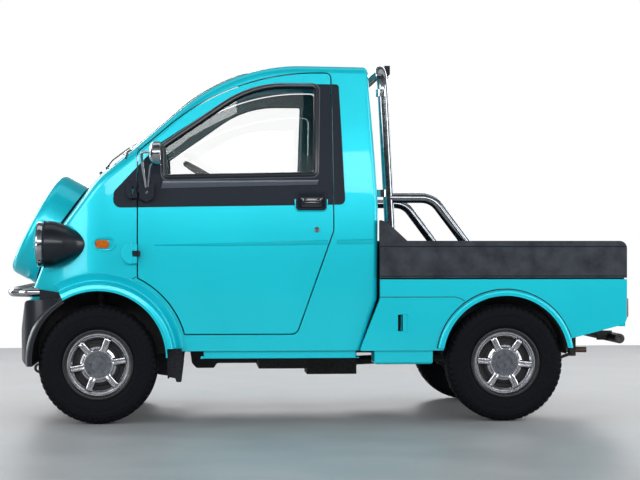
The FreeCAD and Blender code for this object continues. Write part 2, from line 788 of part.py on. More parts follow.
def seats():
    """Two seats on the box over the engine: cushion, back and head restraint in one outline."""
    low = seat_box_z
    section = [(-180.0, low, 0.0), (196.0, low, 10.0), (206.0, low + 100.0, 40.0), (-90.0, low + 88.0, 30.0),
               (-196.0, 1170.0, 40.0), (-200.0, 1320.0, 34.0), (-269.0, 1320.0, 34.0), (-274.0, 1150.0, 20.0)]
    return both_sides(side_prism(section, seat_inner_y, seat_outer_y))


# ---- chassis -------------------------------------------------------------------------------
def chassis_frame():
    """Two rails, low under the cab and raised over the rear axle, with cross members and bed bolsters."""
    low, high, tall = front_rail_z, rear_rail_z, rail_height
    front_x, back_x = ahead(250.0), bed_rear_x + 40.0
    kick_foot, kick_head = rear_axle_x + 480.0, rear_axle_x + 350.0
    outline = [(front_x, low, 10.0), (front_x, low + tall, 10.0), (kick_foot, low + tall, 60.0),
               (kick_head, high + tall, 60.0), (back_x, high + tall, 6.0), (back_x, high, 6.0),
               (kick_head, high, 60.0), (kick_foot, low, 60.0)]
    rail = side_prism(outline, rail_inner_y, rail_outer_y)
    pieces = [rail, mirrored(rail), tow_eye(), under_tray()]
    cross_members = [(ahead(200.0), low), (188.0, low), (-100.0, low), (kick_head - 60.0, high),
                     (back_x + 60.0, high)]
    for x, z in cross_members:
        pieces.append(block(x, x + rail_width, -rail_inner_y, rail_inner_y, z, z + tall))
    bolsters = [(bed_front_x - 110.0, low, 560.0), (rear_axle_x + 60.0, high, 455.0),
                (bed_rear_x + 120.0, high, 560.0)]
    for x, z, half in bolsters:
        pieces.append(block(x, x + 60.0, -half, half, z + tall, bed_floor_z - bed_floor_thickness))
    return fuse(pieces)


def under_tray():
    """Tray hung between the rails behind the front axle, deeper where the steering rods run."""
    top = front_rail_z
    back_x, front_x = tray_x
    outline = [(back_x, top, 0.0), (front_x, top, 0.0), (front_x - 9.0, 242.0, 20.0),
               (front_x - 31.0, 217.0, 12.0), (front_x - 115.0, 217.0, 12.0), (front_x - 129.0, 240.0, 16.0),
               (back_x, 240.0, 0.0)]
    tray = side_prism(outline, -tray_half_width, tray_half_width)
    hanger = block(front_x - 43.0, front_x - 13.0, -rail_y, rail_y, top - 12.0, top)
    return tray.fuse(hanger)


def tow_eye():
    """Flat towing eye hung under the front of the left rail."""
    half = tow_eye_thickness / 2
    eye_x = ahead(tow_eye_ahead)
    y_low, y_high = rail_y - half, rail_y + half
    ring = tube_y(tow_eye_radius + 11.0, eye_x, tow_eye_z, y_low, y_high)
    shank = [(ahead(200.0), front_rail_z, 0.0), (ahead(245.0), front_rail_z, 0.0),
             (eye_x + 4.0, tow_eye_z + 18.0, 0.0), (eye_x - 14.0, tow_eye_z - 18.0, 0.0)]
    hole = tube_y(tow_eye_radius, eye_x, tow_eye_z, y_low, y_high)
    return ring.fuse(side_prism(shank, y_low, y_high)).cut(hole)


def engine_block():
    """Engine and gearbox as two plain blocks under the seats."""
    engine = block(*engine_x, -engine_half_width, engine_half_width, *engine_z)
    gearbox = block(*gearbox_x, -gearbox_half_width, gearbox_half_width, *gearbox_z)
    return fuse([engine, gearbox])


def fuel_tank():
    tank = block(*tank_x, tank_inner_y, rail_inner_y, *tank_z)
    long_edges = [e for e in tank.Edges if e.BoundBox.XLength > 100.0
                  and e.BoundBox.YMax < rail_inner_y - 1.0]
    return tank.makeFillet(18.0, long_edges)


def exhaust():
    """Pipe from the engine, silencer behind the rear axle and tailpipe."""
    y = exhaust_y
    silencer_x = rear_axle_x - 160.0 - silencer_length
    run = [(engine_x[0], y, 284.0), (-560.0, y, 284.0), (-760.0, y, 350.0), (-1010.0, y, 350.0),
           (-1100.0, y, 320.0)]
    silencer = Part.makeCylinder(silencer_radius, silencer_length, V(silencer_x, y, 322.0), V(1, 0, 0))
    tail = Part.makeCylinder(tailpipe_radius, 190.0, V(bed_rear_x, y, 276.0), V(1, 0, 0))
    return fuse([pipe(run, exhaust_pipe_radius, 60.0), silencer, tail])


def rear_spring_leaf(y_low, drop, share):
    """One bowed leaf of a rear spring, share of the whole spring long, drop under the top leaf."""
    reach = spring_half_length * share
    top = tyre_radius - axle_tube_radius - 12.0 - drop
    lift = spring_rise * share * share
    x = rear_axle_x

    def arc(z, direction):
        return Part.Arc(V(x - direction * reach, y_low, z + lift), V(x, y_low, z),
                        V(x + direction * reach, y_low, z + lift))

    upper, lower = arc(top, 1), arc(top - spring_leaf, -1)
    front = Part.LineSegment(upper.EndPoint, lower.StartPoint)
    back = Part.LineSegment(lower.EndPoint, upper.StartPoint)
    outline = Part.Wire([edge.toShape() for edge in (upper, front, lower, back)])
    return Part.Face(outline).extrude(V(0, spring_width, 0))


def rear_axle():
    """Live axle with its differential, drums, leaf springs, shackles and the propeller shaft."""
    x, z = rear_axle_x, tyre_radius
    stub_end = rear_track / 2 + stub_reach
    start, end = V(gearbox_x[0] - 2.0, 0, 240.0), V(x + 60.0, 0, z)
    pieces = [tube_y(axle_tube_radius, x, z, -axle_tube_half, axle_tube_half),
              tube_y(stub_radius, x, z, -stub_end, stub_end),
              Part.makeSphere(differential_radius, V(x, 0, z)),
              Part.makeCylinder(shaft_radius, (end - start).Length, start, end - start)]
    half = spring_width / 2
    for side in (1, -1):
        drum_y = side * (axle_tube_half + 35.0)
        pieces.append(tube_y(brake_drum_radius, x, z, drum_y - brake_drum_width / 2,
                             drum_y + brake_drum_width / 2))
        y = side * rail_y
        pieces += [rear_spring_leaf(y - half, drop, share) for drop, share in spring_leaves]
        pieces.append(block(x - 45.0, x + 45.0, y - half, y + half, z - 60.0, z - 10.0))
        for end_x, top_z in ((x - spring_half_length, rear_rail_z), (x + spring_half_length, 330.0)):
            pieces.append(block(end_x - 14.0, end_x + 14.0, y - half + 4.0, y + half - 4.0, z + 10.0,
                                top_z))
    return fuse(pieces)


def front_suspension():
    """Cross member with an upper and a lower arm to each kingpin, and a damper up to the wheel arch."""
    x, z = front_axle_x, tyre_radius
    member_end = 335.0
    thick = arm_thickness / 2
    pieces = [block(x - 55.0, x + 55.0, -member_end, member_end, z - arm_spread - 14.0, front_rail_z)]
    well = front_well(front_arch_radius, well_inner_y)
    bores = []
    for side in (1, -1):
        pin_y = side * kingpin_y
        for arm_z, inner in ((z - arm_spread, member_end), (z + arm_spread, rail_outer_y)):
            plan = [(x - 60.0, side * inner, 0.0), (x + 60.0, side * inner, 0.0), (x + 20.0, pin_y, 0.0),
                    (x - 20.0, pin_y, 0.0)]
            pieces.append(ground_prism(plan, arm_z - thick, arm_z + thick))
            pieces.append(Part.makeCylinder(2.0 * kingpin_radius, arm_thickness,
                                            V(x, pin_y, arm_z - thick)))
        damper = Part.makeCylinder(damper_radius, 460.0, V(x, side * damper_y, z - arm_spread))
        pieces.append(damper.common(well if side > 0 else mirrored(well)))
        bores.append(Part.makeCylinder(kingpin_radius + running_clearance, 400.0, V(x, pin_y, 50.0)))
    return fuse(pieces).cut(bores)


def left_knuckle():
    """Kingpin post, brake drum, stub axle and steering arm of the left front wheel."""
    x, z = front_axle_x, tyre_radius
    over = 12.0
    post = Part.makeCylinder(kingpin_radius, 2 * (arm_spread + over),
                             V(x, kingpin_y, z - arm_spread - over))
    drum = tube_y(84.0, x, z, kingpin_y - 22.0, kingpin_y + 16.0)
    stub = tube_y(stub_radius, x, z, kingpin_y, front_track / 2 + stub_reach)
    arm = block(x - 120.0, x - 60.0, kingpin_y - 20.0, kingpin_y - 8.0, z - 40.0, z - 20.0)
    return fuse([post, drum, stub, arm])


# ---- wheels --------------------------------------------------------------------------------
def spun_y(corners, x, z, y0, side):
    """Revolves a (distance outboard of y0, radius, corner radius) outline about the wheel's axis."""
    face = rounded_face(corners, lambda p: V(x, y0 + side * p.x, z + p.y))
    return face.revolve(V(x, y0, z), V(0, 1, 0), 360)


def tyre(x, y0, side):
    """Plain tyre section, symmetric about its middle plane; the road tread isn't modelled."""
    half = tyre_width / 2
    outer_half = [(half - 22.0, tyre_radius, 20.0), (half - 8.0, tyre_radius - 10.0, 14.0),
                  (half, tyre_radius - 60.0, 50.0), (half - 4.0, bead_radius + 34.0, 30.0),
                  (half - 10.0, bead_radius, 4.0)]
    inner_half = [(-y, radius, corner) for y, radius, corner in reversed(outer_half)]
    return spun_y(inner_half + outer_half, x, tyre_radius, y0, side)


def wheel_rim():
    """Section of the rim: two flanges on the bead seats and the well between them."""
    half = tyre_width / 2 - 10.0
    under, well = bead_radius - 6.0, bead_radius - 16.0
    outer_half = [(20.0, well, 10.0), (half + 10.0, under, 0.0), (half + 10.0, rim_radius, 3.0),
                  (half + 6.0, rim_radius, 3.0), (half + 6.0, bead_radius, 0.0), (half, bead_radius, 0.0),
                  (20.0, well + 6.0, 10.0)]
    inner_half = [(-y, radius, corner) for y, radius, corner in reversed(outer_half)]
    return inner_half + outer_half


def wheel_disc():
    """Section of the dished disc, from the stub's bore out to the rim."""
    bore, edge = stub_radius + running_clearance, bead_radius - 14.0
    return [(6.0, bore, 0.0), (6.0, 60.0, 0.0), (24.0, 90.0, 20.0), (8.0, edge, 8.0), (14.0, edge, 0.0),
            (30.0, 92.0, 20.0), (30.0, bore, 0.0)]


def wheel_cover():
    """Section of the pressed cover: raised middle, flat floor under the slots and a turned edge."""
    edge = cover_radius
    return [(30.0, 0.0, 0.0), (30.0, 120.0, 0.0), (46.0, edge - 4.0, 6.0), (54.0, edge - 8.0, 4.0),
            (44.0, 120.0, 10.0), (44.0, 66.0, 12.0), (52.0, 56.0, 10.0), (54.0, 0.0, 0.0)]


def wheel(x, y0, side):
    """Steel rim, its dished disc on the hub, and the six-spoked cover pressed over it."""
    pieces = [spun_y(section, x, tyre_radius, y0, side)
              for section in (wheel_rim(), wheel_disc(), wheel_cover())]
    slot = [(88.0, -26.0, 6.0), (116.0, -38.0, 8.0), (116.0, 38.0, 8.0), (88.0, 26.0, 6.0)]
    step = 360.0 / cover_slots
    cutters = []
    for count in range(cover_slots):
        face = rounded_face(slot, lambda p: V(x + p.x, y0 + side * 36.0, tyre_radius + p.y))
        cutter = face.extrude(V(0, side * 30.0, 0))
        cutter.rotate(V(x, y0, tyre_radius), V(0, 1, 0), step * (count + 0.5))
        cutters.append(cutter)
    return fuse(pieces).cut(cutters)


# ---- bed -----------------------------------------------------------------------------------
def bed_lower():
    """Painted lower bed: both side pressings with their arches and flares, the tail panel and the steps."""
    y_in = bed_inner_y
    top = bed_seam_z - panel_step
    flare_y = bed_half_width + flare_stand
    outline = [(bed_front_x, top, 0.0), (bed_front_x, 560.0, 60.0), (bed_front_x + 92.0, sill_z, 6.0),
               (rear_axle_x - 104.0, sill_z, 0.0), (bed_rear_x, 444.0, 40.0), (bed_rear_x, top, 0.0)]
    side = side_prism(outline, y_in, bed_half_width)
    flare = tube_y(rear_flare_radius, rear_axle_x, rear_arch_z, y_in, flare_y)
    edges = [e for e in flare.Edges if e.BoundBox.YMin > flare_y - 1.0]
    flare = flare.makeFillet(12.0, edges).common(block(-far, 0.0, 0.0, 900.0, sill_z + 10.0, far))
    slot = block(-449.0, -427.0, y_in - 10.0, bed_half_width + 10.0, 413.0, 488.0)
    step = block(*step_x, *step_y, step_z, sill_z)
    step = step.makeFillet(12.0, [e for e in step.Edges if e.BoundBox.ZMax < step_z + 1.0])
    near = fuse([side, flare, step]).cut([rear_well(rear_arch_radius, y_in - 20.0), slot])
    tail = block(bed_rear_x, bed_rear_x + bed_skin, -y_in, y_in, 430.0, bed_floor_z - panel_step)
    pin_end = bed_half_width - bed_wall - door_gap - 18.0
    pin = tube_y(tailgate_pin_radius, bed_rear_x + tailgate_pin_in, tailgate_hinge_z, pin_end, y_in + 10.0)
    return fuse([near, mirrored(near), tail, pin, mirrored(pin)])


def bed_tub():
    """Moulded load bed: floor, walls with a rolled top rail, outer upper sides and the front wedges."""
    half, floor, seam, top = bed_half_width, bed_floor_z, bed_seam_z, bed_top_z
    inner_half = half - bed_wall
    front_in = bed_front_x - 34.0
    outer = [(bed_front_x, seam, 0.0), (bed_front_x, top, 0.0), (bed_rear_x, top, 34.0),
             (bed_rear_x, seam, 0.0)]
    shell = side_prism(outer, -half, half)
    lower = block(bed_rear_x + 42.0, bed_front_x, -bed_inner_y, bed_inner_y, floor - bed_floor_thickness,
                  seam)
    space = block(bed_rear_x - 100.0, front_in, -inner_half, inner_half, floor, 2000.0)
    wedge = [(bed_front_x, top, 0.0), (bed_front_x, top + 95.0, 4.0), (front_in, top + 83.0, 14.0),
             (front_in - 90.0, top, 0.0)]
    wedge = side_prism(wedge, inner_half, half)
    tub = fuse([shell, lower, wedge, mirrored(wedge)]).cut(space)
    pads = [Part.makeCylinder(hoop_pad_radius, hoop_pad_height, V(x, side * hoop_foot_y, floor))
            for x in hoop_feet for side in (1, -1)]
    return fuse([tub] + pads)


def tailgate():
    """Drop-down tailgate between the bed's side walls, hung on the two pins of the lower bed."""
    half = bed_half_width - bed_wall - door_gap
    low, top = bed_floor_z + 5.0, bed_top_z - 4.0
    inner_x = bed_rear_x + tailgate_thickness
    outline = [(bed_rear_x, low, 0.0), (bed_rear_x, top, 10.0), (inner_x, top, 10.0), (inner_x, low, 0.0)]
    pin_x = bed_rear_x + tailgate_pin_in
    bore = tube_y(tailgate_pin_radius + running_clearance, pin_x, tailgate_hinge_z, half - 20.0,
                  half + 20.0)
    return side_prism(outline, -half, half).cut([bore, mirrored(bore)])


def rear_lamps():
    """Tail lamps in the tail panel's corners and the high brake lamp on the roll hoop."""
    lamp = block(bed_rear_x - 18.0, bed_rear_x, 470.0, 585.0, 470.0, 560.0)
    lamp = lamp.makeFillet(10.0, [e for e in lamp.Edges if e.BoundBox.XMax < bed_rear_x - 17.0])
    back_x, front_x = high_lamp_x
    high = block(back_x, front_x, -80.0, 80.0, high_lamp_z, high_lamp_z + 42.0)
    return Part.makeCompound([lamp, mirrored(lamp), high])


def roll_hoop():
    """Hoop standing on the bed floor behind the cab, with a stay down each side."""
    y = hoop_foot_y
    foot_z = bed_floor_z + hoop_pad_height
    (foot_x, stay_x), top_x, top_z = hoop_feet, hoop_top_x, hoop_top_z
    points = [(foot_x, y, foot_z), (top_x, y, top_z), (top_x, -y, top_z), (foot_x, -y, foot_z)]
    pieces = [pipe(points, hoop_tube, 96.0)]
    for side in (1, -1):
        leg = [(hoop_stay_x, side * y, hoop_stay_z), (-600.0, side * y, hoop_stay_z),
               (stay_x, side * y, foot_z)]
        pieces.append(pipe(leg, hoop_tube - 1.0, 100.0))
        for x in hoop_feet:
            pieces.append(Part.makeCylinder(hoop_flange_radius, 8.0, V(x, side * y, foot_z)))
    above_floor = block(-far, far, -far, far, foot_z, far)
    stand = block(high_lamp_x[0], top_x, -30.0, 30.0, high_lamp_z - 10.0, high_lamp_z)
    return fuse([fuse(pieces).common(above_floor), stand])


def rear_bumper():
    """Tube across the tail on two brackets from the ends of the rails."""
    x, z = bed_rear_x - 11.0, rear_bumper_z
    pieces = [tube_y(rear_bumper_tube, x, z, -rear_bumper_half, rear_bumper_half)]
    for side in (1, -1):
        y = side * rail_y - 8.0
        pieces.append(block(x, bed_rear_x + 60.0, y, y + 16.0, z - 14.0, rear_rail_z - 4.0))
        pieces.append(block(bed_rear_x + 40.0, bed_rear_x + 130.0, y, y + 16.0, rear_rail_z - 20.0,
                            rear_rail_z))
    return fuse(pieces)


def mud_flaps(outer, fenders):
    """Flap behind each front arch, its outer edge turned back, and a splash plate on the rail."""
    back = front_arch_radius + liner_thickness
    low = 205.0
    sheet = block(ahead(-back - 8.0), ahead(-back), 480.0, 622.0, low, flare_foot_z)
    edge = [(-back, flare_foot_z, 0.0), (-back - 62.0, flare_foot_z, 6.0), (-back - 74.0, 286.0, 8.0),
            (-back - 62.0, 188.0, 6.0), (-back - 40.0, 188.0, 6.0), (-back - 34.0, low, 0.0),
            (-back, low + 7.0, 0.0)]
    turned = side_prism(from_axle(edge), 610.0, 618.0)
    plate = from_axle([(-250.0, 360.0, 0.0), (-340.0, 360.0, 0.0), (-340.0, 190.0, 10.0),
                       (-255.0, 202.0, 10.0)])
    splash = side_prism(plate, rail_outer_y, rail_outer_y + 5.0)
    return both_sides(Part.makeCompound([fuse([sheet, turned]).cut([outer, fenders]), splash]))


# ---- output --------------------------------------------------------------------------------
def build():
    outer = cab_envelope(0.0)
    nodes = cab_panels(outer)
    nodes["cab_floor"] = cab_floor()
    nodes["cab_glass"] = cab_glass()
    nodes["front_fenders"] = front_fenders()
    nodes["front_bumper"] = front_bumper(outer).cut(nodes["front_fenders"])
    nodes["guard_bar"] = guard_bar()
    nodes["spare_cover"] = spare_cover()
    nodes["spare_carrier"] = spare_carrier(outer, nodes["spare_cover"])
    nodes["headlight_pods"], nodes["headlight_lenses"] = headlights(outer)
    nodes["indicators"] = indicators(outer)
    leaf, glass, trim, fixed = left_door(outer)
    mirror_left = left_mirror(outer).cut([leaf, trim])
    nodes["window_band_ends"] = both_sides(fixed)
    nodes["hinge_brackets"] = hinge_brackets(outer, fixed)
    for name, shape in (("door", leaf), ("door_glass", glass), ("door_trim", trim),
                        ("mirror", mirror_left)):
        nodes[name + "_left"] = shape
        nodes[name + "_right"] = mirrored(shape)
    dash = dashboard()
    nodes["steering_wheel"] = steering_wheel(dash)
    nodes["dashboard"] = dash.cut(nodes["cab_floor"])
    nodes["seats"] = seats()
    nodes["chassis_frame"] = chassis_frame()
    nodes["engine_block"] = engine_block()
    nodes["fuel_tank"] = fuel_tank()
    nodes["exhaust"] = exhaust()
    nodes["rear_axle"] = rear_axle()
    nodes["front_suspension"] = front_suspension()
    knuckle = left_knuckle()
    nodes["knuckle_left"], nodes["knuckle_right"] = knuckle, mirrored(knuckle)
    for name, x, y in (("front", front_axle_x, front_track / 2), ("rear", rear_axle_x, rear_track / 2)):
        for label, side in (("left", 1), ("right", -1)):
            nodes[f"tyre_{name}_{label}"] = tyre(x, side * y, side)
            nodes[f"wheel_{name}_{label}"] = wheel(x, side * y, side)
    nodes["bed_lower"] = bed_lower()
    nodes["bed_tub"] = bed_tub()
    nodes["tailgate"] = tailgate()
    nodes["rear_lamps"] = rear_lamps()
    nodes["roll_hoop"] = roll_hoop()
    nodes["rear_bumper"] = rear_bumper()
    nodes["mud_flaps"] = mud_flaps(outer, nodes["front_fenders"])
    return nodes


def centre_shift(nodes):
    """Distance along X that puts the whole truck's box centre at X = 0."""
    low = min(shape.optimalBoundingBox(False).XMin for shape in nodes.values())
    high = max(shape.optimalBoundingBox(False).XMax for shape in nodes.values())
    return -(low + high) / 2


os.makedirs("parts", exist_ok=True)
nodes = build()
shift = centre_shift(nodes)
for name, shape in nodes.items():
    shape = shape.copy()
    shape.translate(V(shift, 0, 0))
    shape.exportStep(f"parts/{name}.step")
    box = shape.optimalBoundingBox(False)
    print(f"{name:18s} solids {len(shape.Solids)} valid {shape.isValid()} volume {shape.Volume / 1e6:9.3f} "
          f"X {box.XMin:.0f}..{box.XMax:.0f} Y {box.YMin:.0f}..{box.YMax:.0f} Z {box.ZMin:.0f}..{box.ZMax:.0f}")
print("shift", shift)
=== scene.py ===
import bpy
import bmesh
import math
from mathutils import Matrix, Vector
from mathutils.bvhtree import BVHTree
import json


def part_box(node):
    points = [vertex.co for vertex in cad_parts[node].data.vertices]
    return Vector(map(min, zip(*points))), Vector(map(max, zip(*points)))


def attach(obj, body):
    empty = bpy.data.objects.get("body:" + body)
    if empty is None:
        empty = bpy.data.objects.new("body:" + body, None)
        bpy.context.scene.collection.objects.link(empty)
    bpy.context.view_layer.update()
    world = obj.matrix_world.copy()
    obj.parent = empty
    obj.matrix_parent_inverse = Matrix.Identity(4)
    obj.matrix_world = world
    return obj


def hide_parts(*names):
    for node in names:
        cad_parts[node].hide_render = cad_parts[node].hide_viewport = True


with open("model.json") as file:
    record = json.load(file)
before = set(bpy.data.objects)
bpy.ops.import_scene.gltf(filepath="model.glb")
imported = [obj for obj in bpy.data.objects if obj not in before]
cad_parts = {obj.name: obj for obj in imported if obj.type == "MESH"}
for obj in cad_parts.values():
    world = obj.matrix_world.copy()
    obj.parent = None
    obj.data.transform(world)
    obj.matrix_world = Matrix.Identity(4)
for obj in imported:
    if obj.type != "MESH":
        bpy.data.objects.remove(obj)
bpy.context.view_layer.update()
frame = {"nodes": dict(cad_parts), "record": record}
nodes = frame["nodes"]


# ---- stations read from the frame -------------------------------------------------------------
def centre(node):
    low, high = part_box(node)
    return (Vector(low) + Vector(high)) / 2


front_x, rear_x = centre("tyre_front_left").x, centre("tyre_rear_left").x


def mm(value):
    return value / 1000.0


def ahead(distance):
    """X in metres of a station given in millimetres ahead of the front axle."""
    return front_x + mm(distance)


def at(distance, y, height):
    """Point given in millimetres ahead of the front axle, to the left and up."""
    return Vector((ahead(distance), mm(y), mm(height)))


def at_rear(distance, y, height):
    """Point given in millimetres ahead of the rear axle, to the left and up."""
    return Vector((rear_x + mm(distance), mm(y), mm(height)))


# ---- materials --------------------------------------------------------------------------------
def new_material(name):
    material = bpy.data.materials.new(name)
    material.use_nodes = True
    tree = material.node_tree
    tree.nodes.clear()
    output = tree.nodes.new("ShaderNodeOutputMaterial")
    shader = tree.nodes.new("ShaderNodeBsdfPrincipled")
    tree.links.new(shader.outputs[0], output.inputs[0])
    coords = tree.nodes.new("ShaderNodeTexCoord")
    return material, tree, shader, coords


def noise(tree, coords, scale, detail=3.0, stretch=None):
    node = tree.nodes.new("ShaderNodeTexNoise")
    node.inputs["Scale"].default_value = scale
    node.inputs["Detail"].default_value = detail
    node.inputs["Roughness"].default_value = 0.55
    source = coords.outputs["Object"]
    if stretch:
        mapping = tree.nodes.new("ShaderNodeMapping")
        mapping.inputs["Scale"].default_value = stretch
        tree.links.new(source, mapping.inputs["Vector"])
        source = mapping.outputs["Vector"]
    tree.links.new(source, node.inputs["Vector"])
    return node


def ramp(tree, source, stops):
    node = tree.nodes.new("ShaderNodeValToRGB")
    elements = node.color_ramp.elements
    while len(elements) < len(stops):
        elements.new(0.5)
    for element, (place, colour) in zip(elements, stops):
        element.position = place
        element.color = (*colour, 1.0)
    tree.links.new(source, node.inputs["Fac"])
    return node


def spread(tree, source, low, high):
    node = tree.nodes.new("ShaderNodeMapRange")
    node.inputs["To Min"].default_value = low
    node.inputs["To Max"].default_value = high
    tree.links.new(source, node.inputs["Value"])
    return node


def add_bump(tree, shader, source, strength, distance):
    node = tree.nodes.new("ShaderNodeBump")
    node.inputs["Strength"].default_value = strength
    node.inputs["Distance"].default_value = distance
    tree.links.new(source, node.inputs["Height"])
    tree.links.new(node.outputs["Normal"], shader.inputs["Normal"])


def surface(name, dark, light, grain, rough, metallic=0.0, bump=(0.1, 0.0005), coat=0.0, coat_rough=0.05,
            specular=0.5, stretch=None, detail=3.0):
    """A procedural finish: two shades mixed by noise, roughness varied with it, and a fine bump."""
    material, tree, shader, coords = new_material(name)
    pattern = noise(tree, coords, grain, detail, stretch=stretch)
    tint = ramp(tree, pattern.outputs["Fac"], [(0.3, dark), (0.7, light)])
    tree.links.new(tint.outputs["Color"], shader.inputs["Base Color"])
    gloss = spread(tree, pattern.outputs["Fac"], rough[0], rough[1])
    tree.links.new(gloss.outputs["Result"], shader.inputs["Roughness"])
    shader.inputs["Metallic"].default_value = metallic
    shader.inputs["Specular IOR Level"].default_value = specular
    shader.inputs["Coat Weight"].default_value = coat
    shader.inputs["Coat Roughness"].default_value = coat_rough
    if bump:
        add_bump(tree, shader, pattern.outputs["Fac"], bump[0], bump[1])
    return material


def paint_finish():
    """Metallic turquoise: fine flakes under a clear coat, a broad drift of shade over the panels."""
    material, tree, shader, coords = new_material("paint_turquoise")
    flakes = noise(tree, coords, 900.0, 2.0)
    broad = noise(tree, coords, 1.6, 2.0)
    tint = ramp(tree, broad.outputs["Fac"], [(0.3, (0.0, 0.54, 0.66)), (0.7, (0.001, 0.61, 0.73))])
    tree.links.new(tint.outputs["Color"], shader.inputs["Base Color"])
    gloss = spread(tree, flakes.outputs["Fac"], 0.30, 0.44)
    tree.links.new(gloss.outputs["Result"], shader.inputs["Roughness"])
    shader.inputs["Metallic"].default_value = 0.35
    shader.inputs["Specular IOR Level"].default_value = 0.30
    shader.inputs["Coat Weight"].default_value = 0.45
    shader.inputs["Coat Roughness"].default_value = 0.04
    add_bump(tree, shader, flakes.outputs["Fac"], 0.03, 0.0004)
    return material


def glass_finish():
    material, tree, shader, coords = new_material("clear_glass")
    pattern = noise(tree, coords, 3.0, 1.0)
    tint = ramp(tree, pattern.outputs["Fac"], [(0.3, (0.90, 0.97, 0.96)), (0.7, (0.94, 0.99, 0.98))])
    tree.links.new(tint.outputs["Color"], shader.inputs["Base Color"])
    shader.inputs["Transmission Weight"].default_value = 1.0
    shader.inputs["Roughness"].default_value = 0.0
    shader.inputs["IOR"].default_value = 1.45
    shader.inputs["Alpha"].default_value = 0.05
    return material


finish = {
    "body_paint": paint_finish(),
    "black_plastic": surface(
        "grained_plastic", (0.008, 0.012, 0.020), (0.015, 0.021, 0.033), 700.0, (0.40, 0.55),
        bump=(0.25, 0.0006), specular=0.15),
    "chrome": surface(
        "polished_chrome", (0.38, 0.40, 0.42), (0.50, 0.52, 0.54), 40.0, (0.05, 0.12), metallic=1.0,
        bump=(0.02, 0.0002)),
    "glass": glass_finish(),
    "amber_lens": surface(
        "amber_lens", (0.40, 0.075, 0.002), (0.62, 0.15, 0.004), 60.0, (0.12, 0.25), coat=0.8,
        bump=(0.3, 0.001)),
    "red_lens": surface(
        "red_lens", (0.35, 0.008, 0.006), (0.55, 0.02, 0.012), 60.0, (0.12, 0.25), coat=0.8,
        bump=(0.3, 0.001)),
    "tyre_rubber": surface(
        "tyre_rubber", (0.002, 0.0024, 0.0035), (0.006, 0.007, 0.010), 160.0, (0.5, 0.7),
        bump=(0.25, 0.0006), detail=6.0, specular=0.08),
    "rim_steel": surface(
        "rim_black", (0.010, 0.011, 0.013), (0.03, 0.031, 0.034), 90.0, (0.35, 0.5), metallic=0.4),
    "cast_grey": surface(
        "cast_metal", (0.035, 0.034, 0.033), (0.09, 0.088, 0.085), 120.0, (0.5, 0.8), metallic=0.7,
        bump=(0.5, 0.001), detail=6.0),
    "frame_black": surface(
        "chassis_black", (0.008, 0.008, 0.009), (0.03, 0.029, 0.028), 60.0, (0.45, 0.75),
        bump=(0.3, 0.0008), detail=6.0),
    "exhaust_steel": surface(
        "exhaust_steel", (0.09, 0.06, 0.045), (0.24, 0.17, 0.13), 35.0, (0.4, 0.65), metallic=0.9,
        bump=(0.2, 0.0005), detail=6.0),
    "seat_cloth": surface(
        "seat_cloth", (0.02, 0.022, 0.028), (0.05, 0.054, 0.065), 900.0, (0.8, 0.95), bump=(0.5, 0.001),
        specular=0.2),
    "flap_rubber": surface(
        "flap_rubber", (0.008, 0.009, 0.012), (0.02, 0.022, 0.026), 120.0, (0.6, 0.8), bump=(0.2, 0.0006),
        specular=0.12),
}
for part in frame["record"]["subparts"]:
    node = nodes.get(part["node"])
    if node is None or part["material_slot"] not in finish:
        continue
    node.data.materials.clear()
    node.data.materials.append(finish[part["material_slot"]])


# The body's teal darkened many times over: painted shade for the cab's inner faces.
inner_painted_shade = surface("inner_painted_shade", (0.0, 0.035, 0.042), (0.001, 0.06, 0.07), 40.0, (0.3, 0.45), coat=0.4)
bed_plastic = surface(
    "bed_plastic", (0.012, 0.015, 0.022), (0.044, 0.052, 0.066), 14.0, (0.45, 0.62), bump=(0.3, 0.0012),
    specular=0.25, detail=10.0)


def refinish(names, material, chosen):
    """Gives the CAD faces picked by chosen(centre, normal) another finish."""
    for name in names:
        mesh = nodes[name].data
        mesh.materials.append(material)
        index = len(mesh.materials) - 1
        for polygon in mesh.polygons:
            if chosen(polygon.center, polygon.normal):
                polygon.material_index = index


def in_arch(spot, axle_x, height, radius):
    """Whether a spot lies in a wheel arch's circle, its middle at a height on the axle's station."""
    return math.hypot(spot.x - axle_x, spot.z - mm(height)) < mm(radius)


# Edges of the regions with a finish of their own, in millimetres.
mirror_foot_top, hinge_cover_foot, high_lamp_foot = 1086, 1000, 1600
inner_foot, inner_y = 400, 380
strap_low, strap_high, strap_x, strap_y = 715, 1100, -190, 608
front_arch_z, front_arch_radius, liner_foot, liner_y = 295, 331, 200, 640
rear_arch_z, rear_arch_radius = 285, 291
slot_back, slot_front, slot_low, slot_high = -1371, -1345, 411, 490
grille_back, grille_low, grille_high, grille_y = 150, 290, 445, 300

black, frame_black = finish["black_plastic"], finish["frame_black"]
# Mirror feet, the bed's tub, and the cab's inner faces, which get the body teal darkened as painted shade.
refinish(("mirror_left", "mirror_right"), black, lambda spot, normal: spot.z < mm(mirror_foot_top))
refinish(("bed_tub", "tailgate"), bed_plastic, lambda spot, normal: True)
refinish(("door_left", "door_right", "cab_sides", "cab_roof", "cab_back", "cab_nose"), inner_painted_shade,
         lambda spot, normal: spot.z > mm(inner_foot) and normal.y * spot.y < 0
         and abs(normal.y) > 0.25 and abs(spot.y) > mm(inner_y))
# Upper hinge covers, the doors' hinge straps, the sides of the high lamp.
refinish(("hinge_brackets",), black, lambda spot, normal: spot.z > mm(hinge_cover_foot))
refinish(("door_left", "door_right"), black,
         lambda spot, normal: mm(strap_low) < spot.z < mm(strap_high) and spot.x > ahead(strap_x)
         and abs(spot.y) > mm(strap_y))
refinish(("rear_lamps",), black, lambda spot, normal: spot.z > mm(high_lamp_foot) and normal.x > -0.5)
